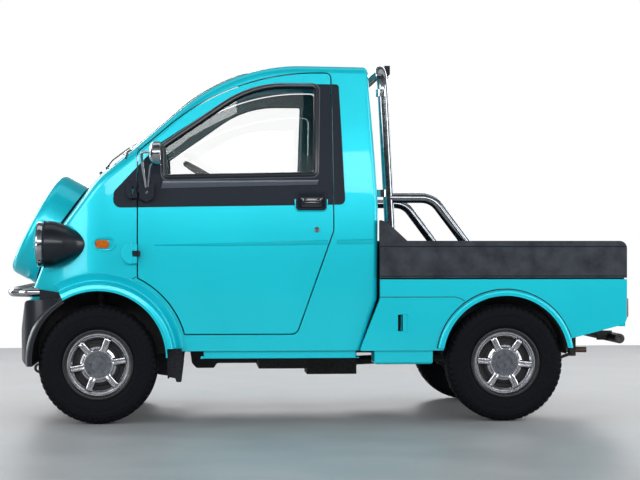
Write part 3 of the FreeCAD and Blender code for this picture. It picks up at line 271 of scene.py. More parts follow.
# Front arch liners, the slot in the step box, the panels behind the grille, rear arch liners.
refinish(("front_fenders", "cab_nose", "cab_sides", "cab_floor"), frame_black,
         lambda spot, normal: spot.z > mm(liner_foot)
         and in_arch(spot, front_x, front_arch_z, front_arch_radius)
         and (abs(spot.y) < mm(liner_y) or normal.y * spot.y < 0))
# The slot's inner walls are painted black: painted shade in the slot.
refinish(("bed_lower",), frame_black,
         lambda spot, normal: ahead(slot_back) < spot.x < ahead(slot_front)
         and mm(slot_low) < spot.z < mm(slot_high) and abs(normal.y) < 0.5)
# The panels behind the grille are painted black: painted shade in the grille's depth.
refinish(("cab_nose", "front_fenders", "cab_floor"), frame_black,
         lambda spot, normal: spot.x > ahead(grille_back) and mm(grille_low) < spot.z < mm(grille_high)
         and abs(spot.y) < mm(grille_y))
refinish(("bed_lower",), frame_black,
         lambda spot, normal: in_arch(spot, rear_x, rear_arch_z, rear_arch_radius))


# ---- camera, floor and light ------------------------------------------------------------------
def new_object(name, data):
    made = bpy.data.objects.new(name, data)
    bpy.context.scene.collection.objects.link(made)
    return made


camera_station, camera_distance, camera_height, camera_turn = -437.8, 7.9989, 0.7892, 0.0752
camera_data = bpy.data.cameras.new("camera")
camera_data.sensor_width = 36.0
camera_data.lens = 92.3
camera_data.shift_y = 0.0125
camera = new_object("camera", camera_data)
camera.location = (ahead(camera_station), camera_distance, camera_height)
camera.rotation_euler = (math.radians(90), 0, math.radians(180) - camera_turn)
bpy.context.scene.camera = camera

# Diffuse light comes mostly from low down; mirrors see a bright band between dark walls and a dark
# ceiling; the camera and glass see white.
world = bpy.data.worlds.new("studio")
bpy.context.scene.world = world
world.use_nodes = True
tree = world.node_tree
tree.nodes.clear()
direction = tree.nodes.new("ShaderNodeTexCoord")
split = tree.nodes.new("ShaderNodeSeparateXYZ")
tree.links.new(direction.outputs["Generated"], split.inputs[0])


def background(strength, stops=()):
    """White backdrop, or one shaded by height with stops of (height, colour)."""
    node = tree.nodes.new("ShaderNodeBackground")
    node.inputs["Color"].default_value = (1.0, 1.0, 1.0, 1.0)
    node.inputs["Strength"].default_value = strength
    if stops:
        tree.links.new(ramp(tree, split.outputs["Z"], stops).outputs["Color"], node.inputs["Color"])
    return node.outputs[0]


def mixed(share, first, second):
    node = tree.nodes.new("ShaderNodeMixShader")
    for socket, source in zip(node.inputs, (share, first, second)):
        tree.links.new(source, socket)
    return node.outputs[0]


even = background(0.45, [(0.30, (0.95, 0.98, 1.0)), (0.95, (0.22, 0.24, 0.26))])
room = background(1.0, [(0.04, (0.06, 0.065, 0.07)), (0.36, (0.55, 0.57, 0.60)), (0.85, (0.10, 0.11, 0.12))])
rays = tree.nodes.new("ShaderNodeLightPath")
clear = tree.nodes.new("ShaderNodeMath")
clear.operation = "MAXIMUM"
tree.links.new(rays.outputs["Is Camera Ray"], clear.inputs[0])
tree.links.new(rays.outputs["Is Transmission Ray"], clear.inputs[1])
lit = mixed(rays.outputs["Is Glossy Ray"], even, room)
output = tree.nodes.new("ShaderNodeOutputWorld")
tree.links.new(mixed(clear.outputs[0], lit, background(1.0)), output.inputs[0])

floor_reach, floor_back = 40.0, -5.1
floor_mesh = bpy.data.meshes.new("floor")
floor_corners = [(-floor_reach, floor_back, 0), (floor_reach, floor_back, 0),
                 (floor_reach, floor_reach, 0), (-floor_reach, floor_reach, 0)]
floor_mesh.from_pydata(floor_corners, [], [(0, 1, 2, 3)])
floor = new_object("floor", floor_mesh)
floor_stone = surface("floor_stone", (0.34, 0.35, 0.36), (0.42, 0.43, 0.44), 2.5, (0.35, 0.6),
                      bump=(0.05, 0.002), detail=8.0)
floor.data.materials.append(floor_stone)


def area_light(name, place, aim, size, power):
    data = bpy.data.lights.new(name, "AREA")
    data.shape = "RECTANGLE"
    data.size, data.size_y = size
    data.energy = power
    light = new_object(name, data)
    light.location = place
    light.rotation_euler = (Vector(aim) - Vector(place)).to_track_quat("-Z", "Y").to_euler()


area_light("light_over", (0.0, 0.0, 4.6), (0, 0, 0.5), (7.0, 2.0), 40.0)
for turn in (1, -1):
    area_light(f"light_side_{turn}", (0.0, turn * 8.4, 3.2), (0, 0, 0.8), (10.0, 1.4), 300.0)
    area_light(f"light_front_{turn}", (5.2, turn * 3.4, 2.0), (0.8, 0, 0.7), (2.4, 3.4), 125.0)
    area_light(f"light_rear_{turn}", (-5.4, turn * 3.2, 2.0), (-1.0, 0, 0.6), (2.4, 3.4), 125.0)
bpy.context.scene.view_settings.view_transform = "Standard"


# ---- mesh helpers -----------------------------------------------------------------------------
def add_piece(name, part, slot, materials=None, body="truck", crease_angle=35.0):
    """A mesh object from (verts, faces), shaded smooth apart from its sharp edges."""
    mesh = bpy.data.meshes.new(name)
    mesh.from_pydata([tuple(v) for v in part[0]], [], part[1])
    mesh.validate()
    bm = bmesh.new()
    bm.from_mesh(mesh)
    bmesh.ops.remove_doubles(bm, verts=bm.verts, dist=1e-6)
    bmesh.ops.recalc_face_normals(bm, faces=bm.faces)
    bm.to_mesh(mesh)
    bm.free()
    piece = new_object(name, mesh)
    for material in materials or [finish[slot]]:
        mesh.materials.append(material)
    mesh.shade_smooth()
    mesh.set_sharp_from_angle(angle=math.radians(crease_angle))
    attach(piece, body)
    return piece


def quads(rows, columns, wrap_rows=False, wrap_columns=False):
    """Faces of a grid of points kept row by row; a wrapped way closes on itself."""
    faces = []
    for i in range(rows if wrap_rows else rows - 1):
        here, following = i * columns, (i + 1) % rows * columns
        for j in range(columns if wrap_columns else columns - 1):
            k = (j + 1) % columns
            faces.append((here + j, here + k, following + k, following + j))
    return faces


def caps(rows, columns):
    """End faces over the first and the last row of such a grid."""
    last = (rows - 1) * columns
    return [tuple(range(columns)), tuple(last + j for j in reversed(range(columns)))]


def lathe(place, profile, steps=32, closed=False):
    """Verts and faces of (along, radius) millimetres turned about an axis by place(along, radius, angle)."""
    verts = []
    for i in range(steps):
        angle = 2 * math.pi * i / steps
        verts += [place(mm(along), mm(radius), angle) for along, radius in profile]
    return verts, quads(steps, len(profile), True, closed)


def soften(value, low, high):
    """Smooth step from 0 at low to 1 at high."""
    t = min(max((value - low) / (high - low), 0.0), 1.0)
    return t * t * (3 - 2 * t)


# ---- pieces laid on the truck's skin ----------------------------------------------------------
def skin_tree(*names):
    """Search tree over the named CAD bodies, for laying pieces on them."""
    verts, faces = [], []
    for name in names:
        mesh = nodes[name].data
        start = len(verts)
        verts += [vertex.co.copy() for vertex in mesh.vertices]
        faces += [[start + i for i in polygon.vertices] for polygon in mesh.polygons]
    return BVHTree.FromPolygons(verts, faces)


left_skin = skin_tree("cab_nose", "cab_sides", "cab_back", "cab_roof", "door_left", "door_trim_left",
                      "window_band_ends", "bed_lower", "bed_tub", "front_fenders")
body_skin = skin_tree("cab_nose", "cab_sides", "cab_back", "cab_roof", "door_left", "bed_lower", "bed_tub")


def skin_y(x, z, tree=None):
    """How far out the left side's skin is at a place in metres."""
    hit = (tree or left_skin).ray_cast(Vector((x, 2.0, z)), Vector((0, -1, 0)))[0]
    return hit.y if hit else 0.6


def on_side(spot, out):
    """Point over a flat (X, Z) spot, out millimetres off the left side's skin."""
    return Vector((spot.x, skin_y(spot.x, spot.y) + mm(out), spot.y))


def rounded_path(corners, closed=True, steps=6):
    """Points along an outline of (u, v, corner radius), arcs drawn in steps."""
    points = []
    count = len(corners)
    for i, (u, v, radius) in enumerate(corners):
        here = Vector((u, v))
        if radius <= 0 or (not closed and i in (0, count - 1)):
            points.append(here)
            continue
        back = (Vector(corners[i - 1][:2]) - here).normalized()
        on = (Vector(corners[(i + 1) % count][:2]) - here).normalized()
        half = back.angle(on) / 2
        run = radius / math.tan(half)
        middle = here + (back + on).normalized() * (radius / math.sin(half))
        start, end = here + back * run - middle, here + on * run - middle
        turn = start.angle_signed(end)
        for k in range(steps + 1):
            share = turn * k / steps
            points.append(middle + Matrix.Rotation(-share, 2) @ start)
    return points


def walk(points, step, closed=False):
    """The same path with extra points so that no span is longer than step."""
    dense = []
    count = len(points)
    for i in range(count if closed else count - 1):
        here, on = points[i], points[(i + 1) % count]
        spans = max(1, math.ceil((on - here).length / step))
        dense += [here.lerp(on, k / spans) for k in range(spans)]
    if not closed:
        dense.append(points[-1])
    return dense


def across_path(points, closed):
    """Unit vector across a flat path at each of its points, to the left of the way along it."""
    result = []
    count = len(points)
    for i in range(count):
        before = points[i - 1] if closed or i else points[0]
        after = points[(i + 1) % count] if closed or i < count - 1 else points[-1]
        along = (after - before).normalized()
        result.append(Vector((-along.y, along.x)))
    return result


def inward_normals(points):
    """Unit vector to the inside of a closed flat path at each of its points."""
    area = sum(a.x * b.y - b.x * a.y for a, b in zip(points, points[1:] + points[:1]))
    return [normal * (1 if area > 0 else -1) for normal in across_path(points, True)]


def side_strip(path, section, closed=False, step=0.03, tree=None, fade=0.0):
    """A strip on the left side: path of (X, Z) metres, section of (across, out) millimetres."""
    points = walk(path, step, closed)
    verts = []
    for i, (point, normal) in enumerate(zip(points, across_path(points, closed))):
        base = skin_y(point.x, point.y, tree)
        share = soften(min(i, len(points) - 1 - i), -0.5, fade) if fade else 1.0
        for across, out in section:
            x, z = point.x + normal.x * mm(across), point.y + normal.y * mm(across)
            verts.append(Vector((x, base + mm(out) * share, z)))
    ends = [] if closed else caps(len(points), len(section))
    return verts, quads(len(points), len(section), closed) + ends


def side_pad(edge, rows):
    """A pad on the left side: edge of (X, Z) metres, rows of (inset, out) mm from it to the middle."""
    points = walk(edge, 0.02, True)
    inward = inward_normals(points)
    verts = []
    count = len(points)
    for inset, out in rows:
        for point, normal in zip(points, inward):
            verts.append(on_side(point + normal * mm(inset), out))
    last = (len(rows) - 1) * count
    verts.append(sum((verts[last + j] for j in range(count)), Vector()) / count)
    fan = [(last + j, last + (j + 1) % count, len(verts) - 1) for j in range(count)]
    return verts, quads(len(rows), count, False, True) + fan


def side_band(upper, lower, section, step=0.03):
    """A band on the left side between two lines of (X, Z); section of (share from the upper line, out mm)."""
    tops, feet = [], []
    for i in range(len(upper) - 1):
        spans = max(1, math.ceil((upper[i + 1] - upper[i]).length / step))
        tops += [upper[i].lerp(upper[i + 1], k / spans) for k in range(spans)]
        feet += [lower[i].lerp(lower[i + 1], k / spans) for k in range(spans)]
    tops.append(upper[-1])
    feet.append(lower[-1])
    verts = []
    for top, foot in zip(tops, feet):
        for share, out in section:
            verts.append(on_side(top.lerp(foot, share), out))
    return verts, quads(len(tops), len(section)) + caps(len(tops), len(section))


def side_outline(corners, closed=True):
    """Rounded outline on the side: (millimetres ahead of the front axle, height, corner radius)."""
    return rounded_path([(ahead(d), mm(z), mm(r)) for d, z, r in corners], closed)


def line(*stations):
    """Path of (distance ahead of the front axle, height) stations in millimetres."""
    return [Vector((ahead(d), mm(z))) for d, z in stations]


def rear_line(*stations):
    """Path of (distance ahead of the rear axle, height) stations in millimetres."""
    return [Vector((rear_x + mm(d), mm(z))) for d, z in stations]


def tube(points, radius, bend=0.0, steps=12, turns=6, flat=1.0):
    """Verts and faces of a round tube along points; radius and bend, which eases its corners, in mm."""
    path = [Vector(points[0])]
    for i in range(1, len(points) - 1):
        here = Vector(points[i])
        back, on = Vector(points[i - 1]) - here, Vector(points[i + 1]) - here
        reach = min(mm(bend), back.length * 0.45, on.length * 0.45)
        if reach <= 0:
            path.append(here)
            continue
        start, end = here + back.normalized() * reach, here + on.normalized() * reach
        for k in range(turns + 1):
            t = k / turns
            path.append(start * (1 - t) ** 2 + here * 2 * t * (1 - t) + end * t * t)
    path.append(Vector(points[-1]))
    normal = (path[1] - path[0]).normalized().orthogonal().normalized()
    verts = []
    for i, point in enumerate(path):
        way = (path[min(i + 1, len(path) - 1)] - path[max(i - 1, 0)]).normalized()
        normal = (normal - way * normal.dot(way)).normalized()
        other = way.cross(normal)
        for k in range(steps):
            angle = 2 * math.pi * k / steps
            across = normal * mm(radius) * math.cos(angle)
            verts.append(point + across + other * mm(radius) * flat * math.sin(angle))
    return verts, quads(len(path), steps, False, True) + caps(len(path), steps)


def block(low, high, bevel):
    """Verts and faces of a block between two points, its edges rounded by bevel in millimetres."""
    bm = bmesh.new()
    bmesh.ops.create_cube(bm, size=1.0)
    size = Vector(high) - Vector(low)
    for vertex in bm.verts:
        vertex.co = Vector(low) + Vector((size[i] * (vertex.co[i] + 0.5) for i in range(3)))
    bmesh.ops.bevel(bm, geom=bm.edges[:], offset=mm(bevel), segments=3, profile=0.5, affect="EDGES")
    bm.verts.index_update()
    verts = [vertex.co.copy() for vertex in bm.verts]
    faces = [[vertex.index for vertex in face.verts] for face in bm.faces]
    bm.free()
    return verts, faces


def axis_place(origin, axis, start=None):
    """Maps along, radius, angle about an axis through origin to a point."""
    axis = Vector(axis).normalized()
    across = Vector(start).normalized() if start else axis.orthogonal().normalized()
    other = axis.cross(across)
    origin = Vector(origin)
    return lambda along, radius, angle: (origin + axis * along + across * radius * math.cos(angle)
                                         + other * radius * math.sin(angle))


def merged(*parts):
    """Several (verts, faces) put into one."""
    verts, faces = [], []
    for part_verts, part_faces in parts:
        start = len(verts)
        verts += part_verts
        faces += [tuple(start + i for i in face) for face in part_faces]
    return verts, faces


def flipped(part):
    """The same piece on the other side of the truck."""
    verts, faces = part
    return [Vector((v[0], -v[1], v[2])) for v in verts], [tuple(reversed(face)) for face in faces]


def add_pair(name, part, slot, materials=None, body="truck"):
    """A piece on the left and its mirror image on the right; a truck piece holds both in one mesh."""
    if body == "truck":
        add_piece(name, merged(part, flipped(part)), slot, materials)
        return
    add_piece(f"{name}_left", part, slot, materials, body)
    add_piece(f"{name}_right", flipped(part), slot, materials, body.replace("left", "right"))


# ---- wheels -----------------------------------------------------------------------------------
cover_silver = surface(
    "cover_silver", (0.40, 0.41, 0.43), (0.58, 0.59, 0.62), 60.0, (0.14, 0.26), metallic=1.0,
    bump=(0.04, 0.0003), detail=5.0)
hub_satin = surface(
    "hub_satin", (0.13, 0.14, 0.16), (0.24, 0.25, 0.28), 60.0, (0.24, 0.34), metallic=1.0, detail=5.0)
slot_black = surface("slot_black", (0.004, 0.004, 0.005), (0.010, 0.010, 0.012), 90.0, (0.6, 0.8))
pitches, steps_per_pitch = 56, 5
spoke_count = 6
cover_base = 42.0

# Half profile of the tyre from its tread's middle to its bead, by zone: outboard distance, radius (mm).
tread_zones = [
    ("groove", [(0.0, 260.5), (3.5, 260.5)]), ("rib", [(4.0, 266.8), (21.0, 266.6)]),
    ("groove", [(21.5, 260.5), (28.0, 260.5)]), ("rib", [(28.5, 266.2), (44.0, 265.2)]),
    ("lug", [(44.6, 261.0), (48.0, 261.0)]),
    ("shoulder", [(48.6, 264.4), (56.0, 261.2), (61.5, 256.5), (65.0, 249.5)]),
    ("side", [(66.5, 242.0), (68.6, 236.0), (69.6, 232.0), (69.2, 230.8), (70.6, 226.0), (71.6, 218.0),
              (71.1, 216.8), (72.0, 208.0), (72.2, 196.0), (71.2, 184.0), (70.2, 177.0), (70.6, 174.0),
              (69.4, 170.5), (66.8, 165.0), (63.5, 160.0), (62.0, 154.5), (58.0, 152.5)]),
]
# Sections of the rim and of its disc: outboard distance, radius (mm).
rim_profile = [
    (52.0, 139.0), (56.0, 141.0), (61.0, 143.5), (67.5, 146.0), (69.5, 149.0), (69.5, 153.0),
    (68.0, 156.5), (64.5, 158.0), (63.0, 154.0), (58.0, 151.0), (20.0, 141.5), (-20.0, 141.5),
    (-58.0, 151.0), (-64.0, 157.5), (-69.0, 156.5), (-70.0, 152.0), (-68.0, 147.0), (-56.0, 145.0),
    (-20.0, 135.0), (20.0, 135.0), (34.0, 137.0),
]
disc_profile = [
    (30.0, 14.0), (30.0, 92.0), (14.0, 136.0), (8.0, 136.0), (22.0, 90.0), (6.0, 60.0), (6.0, 14.0),
]
# Wheel cover relief, from its middle out: radius (mm), height on a spoke, height between spokes.
cover_rows = [
    (0.0, 9.5, 9.5), (14.0, 9.5, 9.5), (30.0, 9.2, 9.2), (32.5, 9.0, 9.0), (33.5, 12.0, 12.0),
    (36.5, 12.0, 12.0), (37.5, 9.4, 9.4), (50.0, 10.0, 10.0), (60.0, 10.4, 10.4), (66.0, 10.6, 10.2),
    (68.5, 11.0, 8.6), (71.0, 11.4, 5.0), (80.0, 12.4, 2.0), (90.0, 13.0, -1.6), (94.5, 13.2, -3.6),
    (96.5, 13.3, -12.0), (104.0, 13.5, -13.0), (111.0, 13.6, -12.0), (112.6, 13.6, -3.2),
    (117.0, 13.4, 0.4), (121.5, 12.6, 5.6), (123.5, 11.6, 8.2), (127.0, 9.0, 8.4), (129.0, 6.8, 6.8),
    (132.0, 6.6, 6.6), (133.5, 9.6, 9.6), (138.5, 10.2, 10.2), (140.6, 9.0, 9.0), (142.0, 6.0, 6.0),
    (141.6, 0.0, 0.0), (139.0, -6.0, -6.0),
]
# Across a spoke from its middle: offset (mm), share of the gap's depth, height of the spoke's ridge (mm).
spoke_lines = [(0.0, 0.0, -1.6), (2.2, 0.0, -1.2), (4.4, 0.0, 0.9), (7.4, 0.0, 1.5), (10.6, 0.0, 0.9),
               (13.4, 0.0, -0.6), (14.4, 0.10, -0.6), (17.6, 0.94, 0.0)]
# Across half a gap: share of its angle.
gap_shares = [0.14, 0.35, 0.65, 1.0]


def wheel_place(hub, side):
    """Outboard distance, radius and angle (from the rear, upwards) about a hub, to a point."""
    return lambda along, radius, angle: Vector(
        (hub.x - radius * math.cos(angle), hub.y + side * along, hub.z + radius * math.sin(angle)))


def tyre_mesh(place):
    """Ribbed tread with slits and shoulder lugs, and a stepped sidewall."""
    half = [(along, radius, zone) for zone, points in tread_zones for along, radius in points]
    profile = [(-along, radius, zone) for along, radius, zone in reversed(half[1:])] + half
    steps = pitches * steps_per_pitch
    verts = []
    for i in range(steps):
        angle = 2 * math.pi * i / steps
        slot = i % steps_per_pitch
        for along, radius, zone in profile:
            lug = zone == "shoulder" and slot in (0, 1)
            cut = 5.0 if lug else 0.0
            if zone == "rib" and slot == (0 if along > 0 else 2) and 12.0 < abs(along) < 44.5:
                cut = 3.5
            narrow = 0.9 if lug and abs(along) > 60.0 else 0.0
            out = math.copysign(abs(along) - narrow, along)
            verts.append(place(mm(out), mm(radius - cut), angle))
    return verts, quads(steps, len(profile), True)


def spoke_angle(offset, radius):
    """Angle at which a line parallel to a spoke, offset from its middle, meets a radius (mm)."""
    reach = max(radius, 52.0)
    return math.asin(min(offset / reach, 0.99))


def cover_mesh(place, phase):
    """Pressed wheel cover: six ridged spokes with deep slots between them."""
    half_sector = math.pi / spoke_count
    half = [("line", *entry) for entry in spoke_lines] + [("gap", share, 1.0, 0.0) for share in gap_shares]
    columns = []
    for k in range(spoke_count):
        middle = 2 * half_sector * k + phase
        columns += [(middle, -1, entry) for entry in half[:0:-1]]
        columns += [(middle, 1, entry) for entry in half[:-1]]
    verts = []
    for radius, on_spoke, between in cover_rows:
        for middle, sign, (kind, value, sink, ridge) in columns:
            if kind == "line":
                turn = spoke_angle(value, radius)
            else:
                edge = spoke_angle(spoke_lines[-1][0], radius)
                turn = edge + (half_sector - edge) * value
            faded = ridge * soften(radius, 62.0, 72.0) * (1.0 - soften(radius, 121.0, 127.0))
            height = on_spoke + (between - on_spoke) * sink + faded
            verts.append(place(mm(cover_base + height), mm(radius), middle + sign * turn))
    return verts, quads(len(cover_rows), len(columns), False, True)


def dress_wheel(end, label, side, phase):
    body = f"wheel_{end}_{label}"
    hub = centre(f"tyre_{end}_{label}")
    place = wheel_place(hub, side)
    tread = add_piece(f"tread_{end}_{label}", tyre_mesh(place), "tyre_rubber", body=body)
    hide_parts(f"tyre_{end}_{label}")
    cover = add_piece(f"cover_{end}_{label}", cover_mesh(place, math.radians(phase)), "chrome",
                      [cover_silver, slot_black, hub_satin], body, crease_angle=28.0)
    for polygon in cover.data.polygons:
        middle = polygon.center - hub
        across = math.hypot(middle.x, middle.z)
        if mm(84.0) < across < mm(117.0) and side * middle.y < mm(cover_base + 1.5):
            polygon.material_index = 1
        elif across < mm(62.0):
            polygon.material_index = 2
    barrel = add_piece(
        f"rim_{end}_{label}", lathe(place, rim_profile, 96, closed=True), "rim_steel", body=body)
    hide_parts(f"wheel_{end}_{label}")
    add_piece(f"disc_{end}_{label}", lathe(place, disc_profile, 72, closed=True), "rim_steel", body=body)


for end, phase in (("front", 9.5), ("rear", -4.5)):
    for label, side in (("left", 1), ("right", -1)):
        dress_wheel(end, label, side, phase)


# ---- side trim --------------------------------------------------------------------------------
gloss_black = surface(
    "gloss_black", (0.004, 0.006, 0.010), (0.009, 0.012, 0.020), 60.0, (0.10, 0.20), coat=0.6)
# Black trim lightened to blue-grey: a painted sheen on the belt moulding and the window beading.
belt_painted_sheen = surface(
    "belt_painted_sheen", (0.035, 0.046, 0.066), (0.060, 0.076, 0.105), 200.0, (0.26, 0.36), specular=0.8)
bright_steel = surface(
    "bright_steel", (0.50, 0.52, 0.54), (0.66, 0.68, 0.70), 50.0, (0.12, 0.22), metallic=1.0,
    bump=(0.03, 0.0003))
seam_black = surface("seam_black", (0.003, 0.004, 0.005), (0.007, 0.008, 0.009), 90.0, (0.6, 0.8))
pod_black = surface(
    "pod_black", (0.003, 0.006, 0.010), (0.007, 0.011, 0.017), 400.0, (0.28, 0.38), coat=0.3,
    coat_rough=0.14, specular=0.3)
hoop_steel = surface(
    "hoop_steel", (0.20, 0.22, 0.24), (0.32, 0.34, 0.36), 40.0, (0.07, 0.15), metallic=1.0,
    bump=(0.02, 0.0002))
wheel_leather = surface(
    "wheel_leather", (0.004, 0.005, 0.006), (0.009, 0.010, 0.012), 300.0, (0.7, 0.85), specular=0.05)
for name, material in (("headlight_pods", pod_black), ("front_bumper", pod_black), ("roll_hoop", hoop_steel),
                       ("steering_wheel", wheel_leather)):
    nodes[name].data.materials[0] = material

window_line = [(-297, 1112, 14), (-293, 1245, 10), (-692, 1524, 485), (-982, 1524, 18), (-972, 1126, 14)]
hairline = [(-1.8, -0.2), (-1.4, 0.5), (1.4, 0.5), (1.8, -0.2)]
sill_y, sill_z = 577, 292
bed_side_y, bed_front, bed_back = 624.6, 572, -556


def window_ring(path, probe, section):
    """A ring round the window: section of (across, out) millimetres on the skin found at probe across."""
    verts = []
    for point, normal in zip(path, across_path(path, True)):
        found = point + normal * mm(probe)
        level = skin_y(found.x, found.y)
        for across, out in section:
            spot = point + normal * mm(across)
            verts.append(Vector((spot.x, level + mm(out), spot.y)))
    return verts, quads(len(path), len(section), True)


def window_trim():
    path = walk(side_outline(window_line), 0.02, True)
    gasket = [
        (-13.0, 0.2), (-12.0, 2.4), (-7.0, 3.2), (-2.0, 3.0), (0.5, 1.0), (3.0, -4.0), (8.0, -9.0),
        (9.0, -15.0),
    ]
    beading = [(-19.0, 0.1), (-18.0, 1.4), (-15.5, 1.4), (-14.5, 0.1)]
    add_pair("window_gasket", window_ring(path, -12.0, gasket), "black_plastic", [pod_black], "door_left")
    add_pair("window_beading", window_ring(path, -17.0, beading), "black_plastic", [belt_painted_sheen], "door_left")


def belt_and_swage():
    moulding = [
        (0.0, 0.2), (0.03, 5.0), (0.12, 8.4), (0.24, 9.2), (0.48, 8.0), (0.80, 6.0), (0.97, 4.4),
        (1.0, 0.2),
    ]
    belt = side_band(line((-290, 1097), (-990, 1100)), line((-279, 1056), (-983, 1075)), moulding)
    add_pair("belt_moulding", belt, "black_plastic", [belt_painted_sheen], "door_left")
    crease = [(0.0, 0.0), (0.15, 0.8), (0.75, 5.0), (0.95, 5.2), (1.1, 3.0), (1.3, 0.0)]
    door = side_band(
        line((-250, 800), (-576, 797), (-1030, 803)), line((-250, 803), (-576, 809), (-1030, 821)), crease)
    add_pair("door_swage", door, "body_paint", body="door_left")
    rear = side_band(line((-1072, 804), (-1236, 805)), line((-1072, 822), (-1236, 825)), crease)
    add_pair("cab_swage", rear, "body_paint")


def door_handle():
    housing = side_outline([(-886, 960, 16), (-886, 1043, 16), (-1025, 1043, 16), (-1025, 960, 16)])
    rim = side_pad(
        housing, [(0, -1.0), (0, 4.0), (1.5, 6.0), (5, 7.0), (9, 6.6), (11, 3.0), (14, 1.5), (30, 1.2)])
    add_pair("handle_housing", rim, "black_plastic", body="door_left")
    pull = side_outline([(-906, 972, 9), (-906, 1022, 9), (-1008, 1022, 9), (-1008, 972, 9)])
    flap = side_pad(pull, [(0, 1.0), (0, 7.0), (2, 9.6), (7, 10.8), (16, 11.4), (22, 11.4)])
    add_pair("handle_pull", flap, "black_plastic", [gloss_black], "door_left")
    lip = side_outline([(-884, 1010, 0), (-884, 955, 22), (-1027, 955, 22), (-1027, 1010, 0)], closed=False)
    edge = side_strip(lip, [(-3.5, 0.0), (-2.5, 3.0), (0, 4.2), (2.5, 3.0), (3.5, 0.0)], fade=3)
    add_pair("handle_lip", edge, "body_paint", body="door_left")
    lock_x, lock_z = ahead(-981), mm(872)
    spot = Vector((lock_x, skin_y(lock_x, lock_z, body_skin), lock_z))
    barrel = [(-2, 13), (2.5, 13), (4.8, 11), (4.8, 8), (3.2, 7), (3.2, 0)]
    add_pair("door_lock", lathe(axis_place(spot, (0, 1, 0)), barrel), "chrome", [cover_silver], "door_left")
    slit = block(spot + Vector((mm(-1), mm(2.5), mm(-4))), spot + Vector((mm(1), mm(3.9), mm(4))), 0.3)
    add_pair("door_lock_slit", slit, "black_plastic", [seam_black], "door_left")


def seams():
    """Dark joints of the band and bed, and painted rims round the step box's slot and the side lamp."""
    parts = [side_strip(path, hairline, step=0.01)
             for path in (line((-158, 1248), (-182, 1232)), line((-152, 650), (-168, 661)))]
    bed = rear_line((574, 567), (230, 567), (205, 560), (188, 548))
    parts.append(side_strip(bed, hairline, tree=body_skin))
    radius = 317.0
    arch = [(radius * math.cos(math.radians(a)), rear_arch_z + radius * math.sin(math.radians(a)))
            for a in range(9, 172, 3)]
    groove = [(-3.0, -0.2), (-2.4, 0.6), (2.4, 0.6), (3.0, -0.2)]
    parts.append(side_strip(rear_line(*arch), groove, tree=body_skin))
    add_pair("body_seams", merged(*parts), "black_plastic", [seam_black])
    slot = side_outline([(-1365, 410, 4), (-1365, 491, 4), (-1392, 491, 4), (-1392, 410, 4)])
    rim = side_strip(
        slot, [(-2.5, 0.0), (-1.5, 1.6), (1.5, 1.6), (2.5, 0.0)], closed=True, step=0.01, tree=body_skin)
    bezel = side_outline([(21, 780, 27), (21, 834, 27), (-73, 834, 27), (-73, 780, 27)])
    ring = side_strip(bezel, [(-5, -1.0), (-4, 3.0), (-1, 5.2), (3, 4.6), (6, 1.0), (7, -1.0)], closed=True,
                      step=0.008, tree=skin_tree("cab_nose"))
    add_pair("side_bezels", merged(rim, ring), "body_paint")


def edge_beads():
    """Folded edge along the sill and two beads along the bed's side."""
    sill = tube([at(-455, sill_y, sill_z), at(-1175, sill_y, sill_z)], 2.2, steps=8)
    joint = block(at(-470, sill_y - 3, sill_z - 3), at(-458, sill_y + 3, sill_z + 8), 1.5)
    add_pair("sill_bead", merged(sill, joint), "body_paint")
    beads = [tube([at_rear(bed_back, bed_side_y, z), at_rear(bed_front, bed_side_y, z)], radius, steps=8)
             for z, radius in ((796, 2.4), (662, 2.0))]
    add_pair("bed_rail_beads", merged(*beads), "black_plastic")


def mirrors():
    """Chrome shell with a mirror glass, a ring on its base and a second stay."""
    shell = axis_place(at(-254, 704, 1208), (1, 0, 0))
    back = [(-22, 53.0), (-24.5, 53.8), (-25, 53.6), (-24.4, 52.6), (-6, 53.9), (8, 51), (18, 40), (23, 28),
            (24.8, 14), (25, 0)]
    stay = tube([at(-222, 634, 1058), at(-232, 676, 1150), at(-248, 700, 1172)], 4.0, bend=30)
    ring = lathe(axis_place(at(-216, 630, 1040), (0.35, 0.7, 0.62)),
                 [(-4, 9), (-3, 13), (3, 13), (5, 9), (9, 7.5), (9, 0)], 24)
    add_pair("mirror_shell", merged(lathe(shell, back, 48), stay, ring), "chrome", body="door_left")
    glass = [(-24.6, 52.4), (-24.5, 40.0), (-24.4, 20.0), (-24.3, 0.0)]
    add_pair("mirror_glass", lathe(shell, glass, 48), "chrome", body="door_left")


window_trim()
belt_and_swage()
door_handle()
seams()
edge_beads()
mirrors()


# ---- lamps, windscreen and nose ---------------------------------------------------------------
lamp_left = at(262, 532, 805)
screen_tree = skin_tree("cab_glass", "cab_nose", "cab_roof", "cab_sides")
screen_head, screen_foot = at(-590, 0, 1650), at(31, 0, 1126)
screen_down = (screen_foot - screen_head).normalized()
screen_out = Vector((-screen_down.z, 0, screen_down.x))


def on_screen(down, y, lift):
    """Point lifted off the windscreen, down from its head in millimetres and across at y metres."""
    spot = screen_head + screen_down * mm(down) + Vector((0, y, 0))
    hit = screen_tree.ray_cast(spot + screen_out * 0.5, -screen_out, 0.75)[0]
    return (hit or screen_tree.find_nearest(spot)[0]) + screen_out * mm(lift)


def screen_gasket():
    """Rubber round the windscreen: corners of (down from its head, across, corner radius)."""
    corners = [(-20, 432, 70), (728, 478, 60), (728, -478, 60), (-20, -432, 70)]
    path = walk(rounded_path([(mm(down), mm(y), mm(r)) for down, y, r in corners]), 0.03, True)
    rows = [(-16, 0.3), (-14, 2.6), (-4, 3.4), (3, 2.6), (9, 1.0), (10, -4.0)]
    verts = []
    for point, normal in zip(path, inward_normals(path)):
        for reach, lift in rows:
            spot = point + normal * mm(reach)
            verts.append(on_screen(spot.x * 1000, spot.y, lift))
    add_piece("screen_gasket", (verts, quads(len(path), len(rows), True)), "black_plastic", [gloss_black])


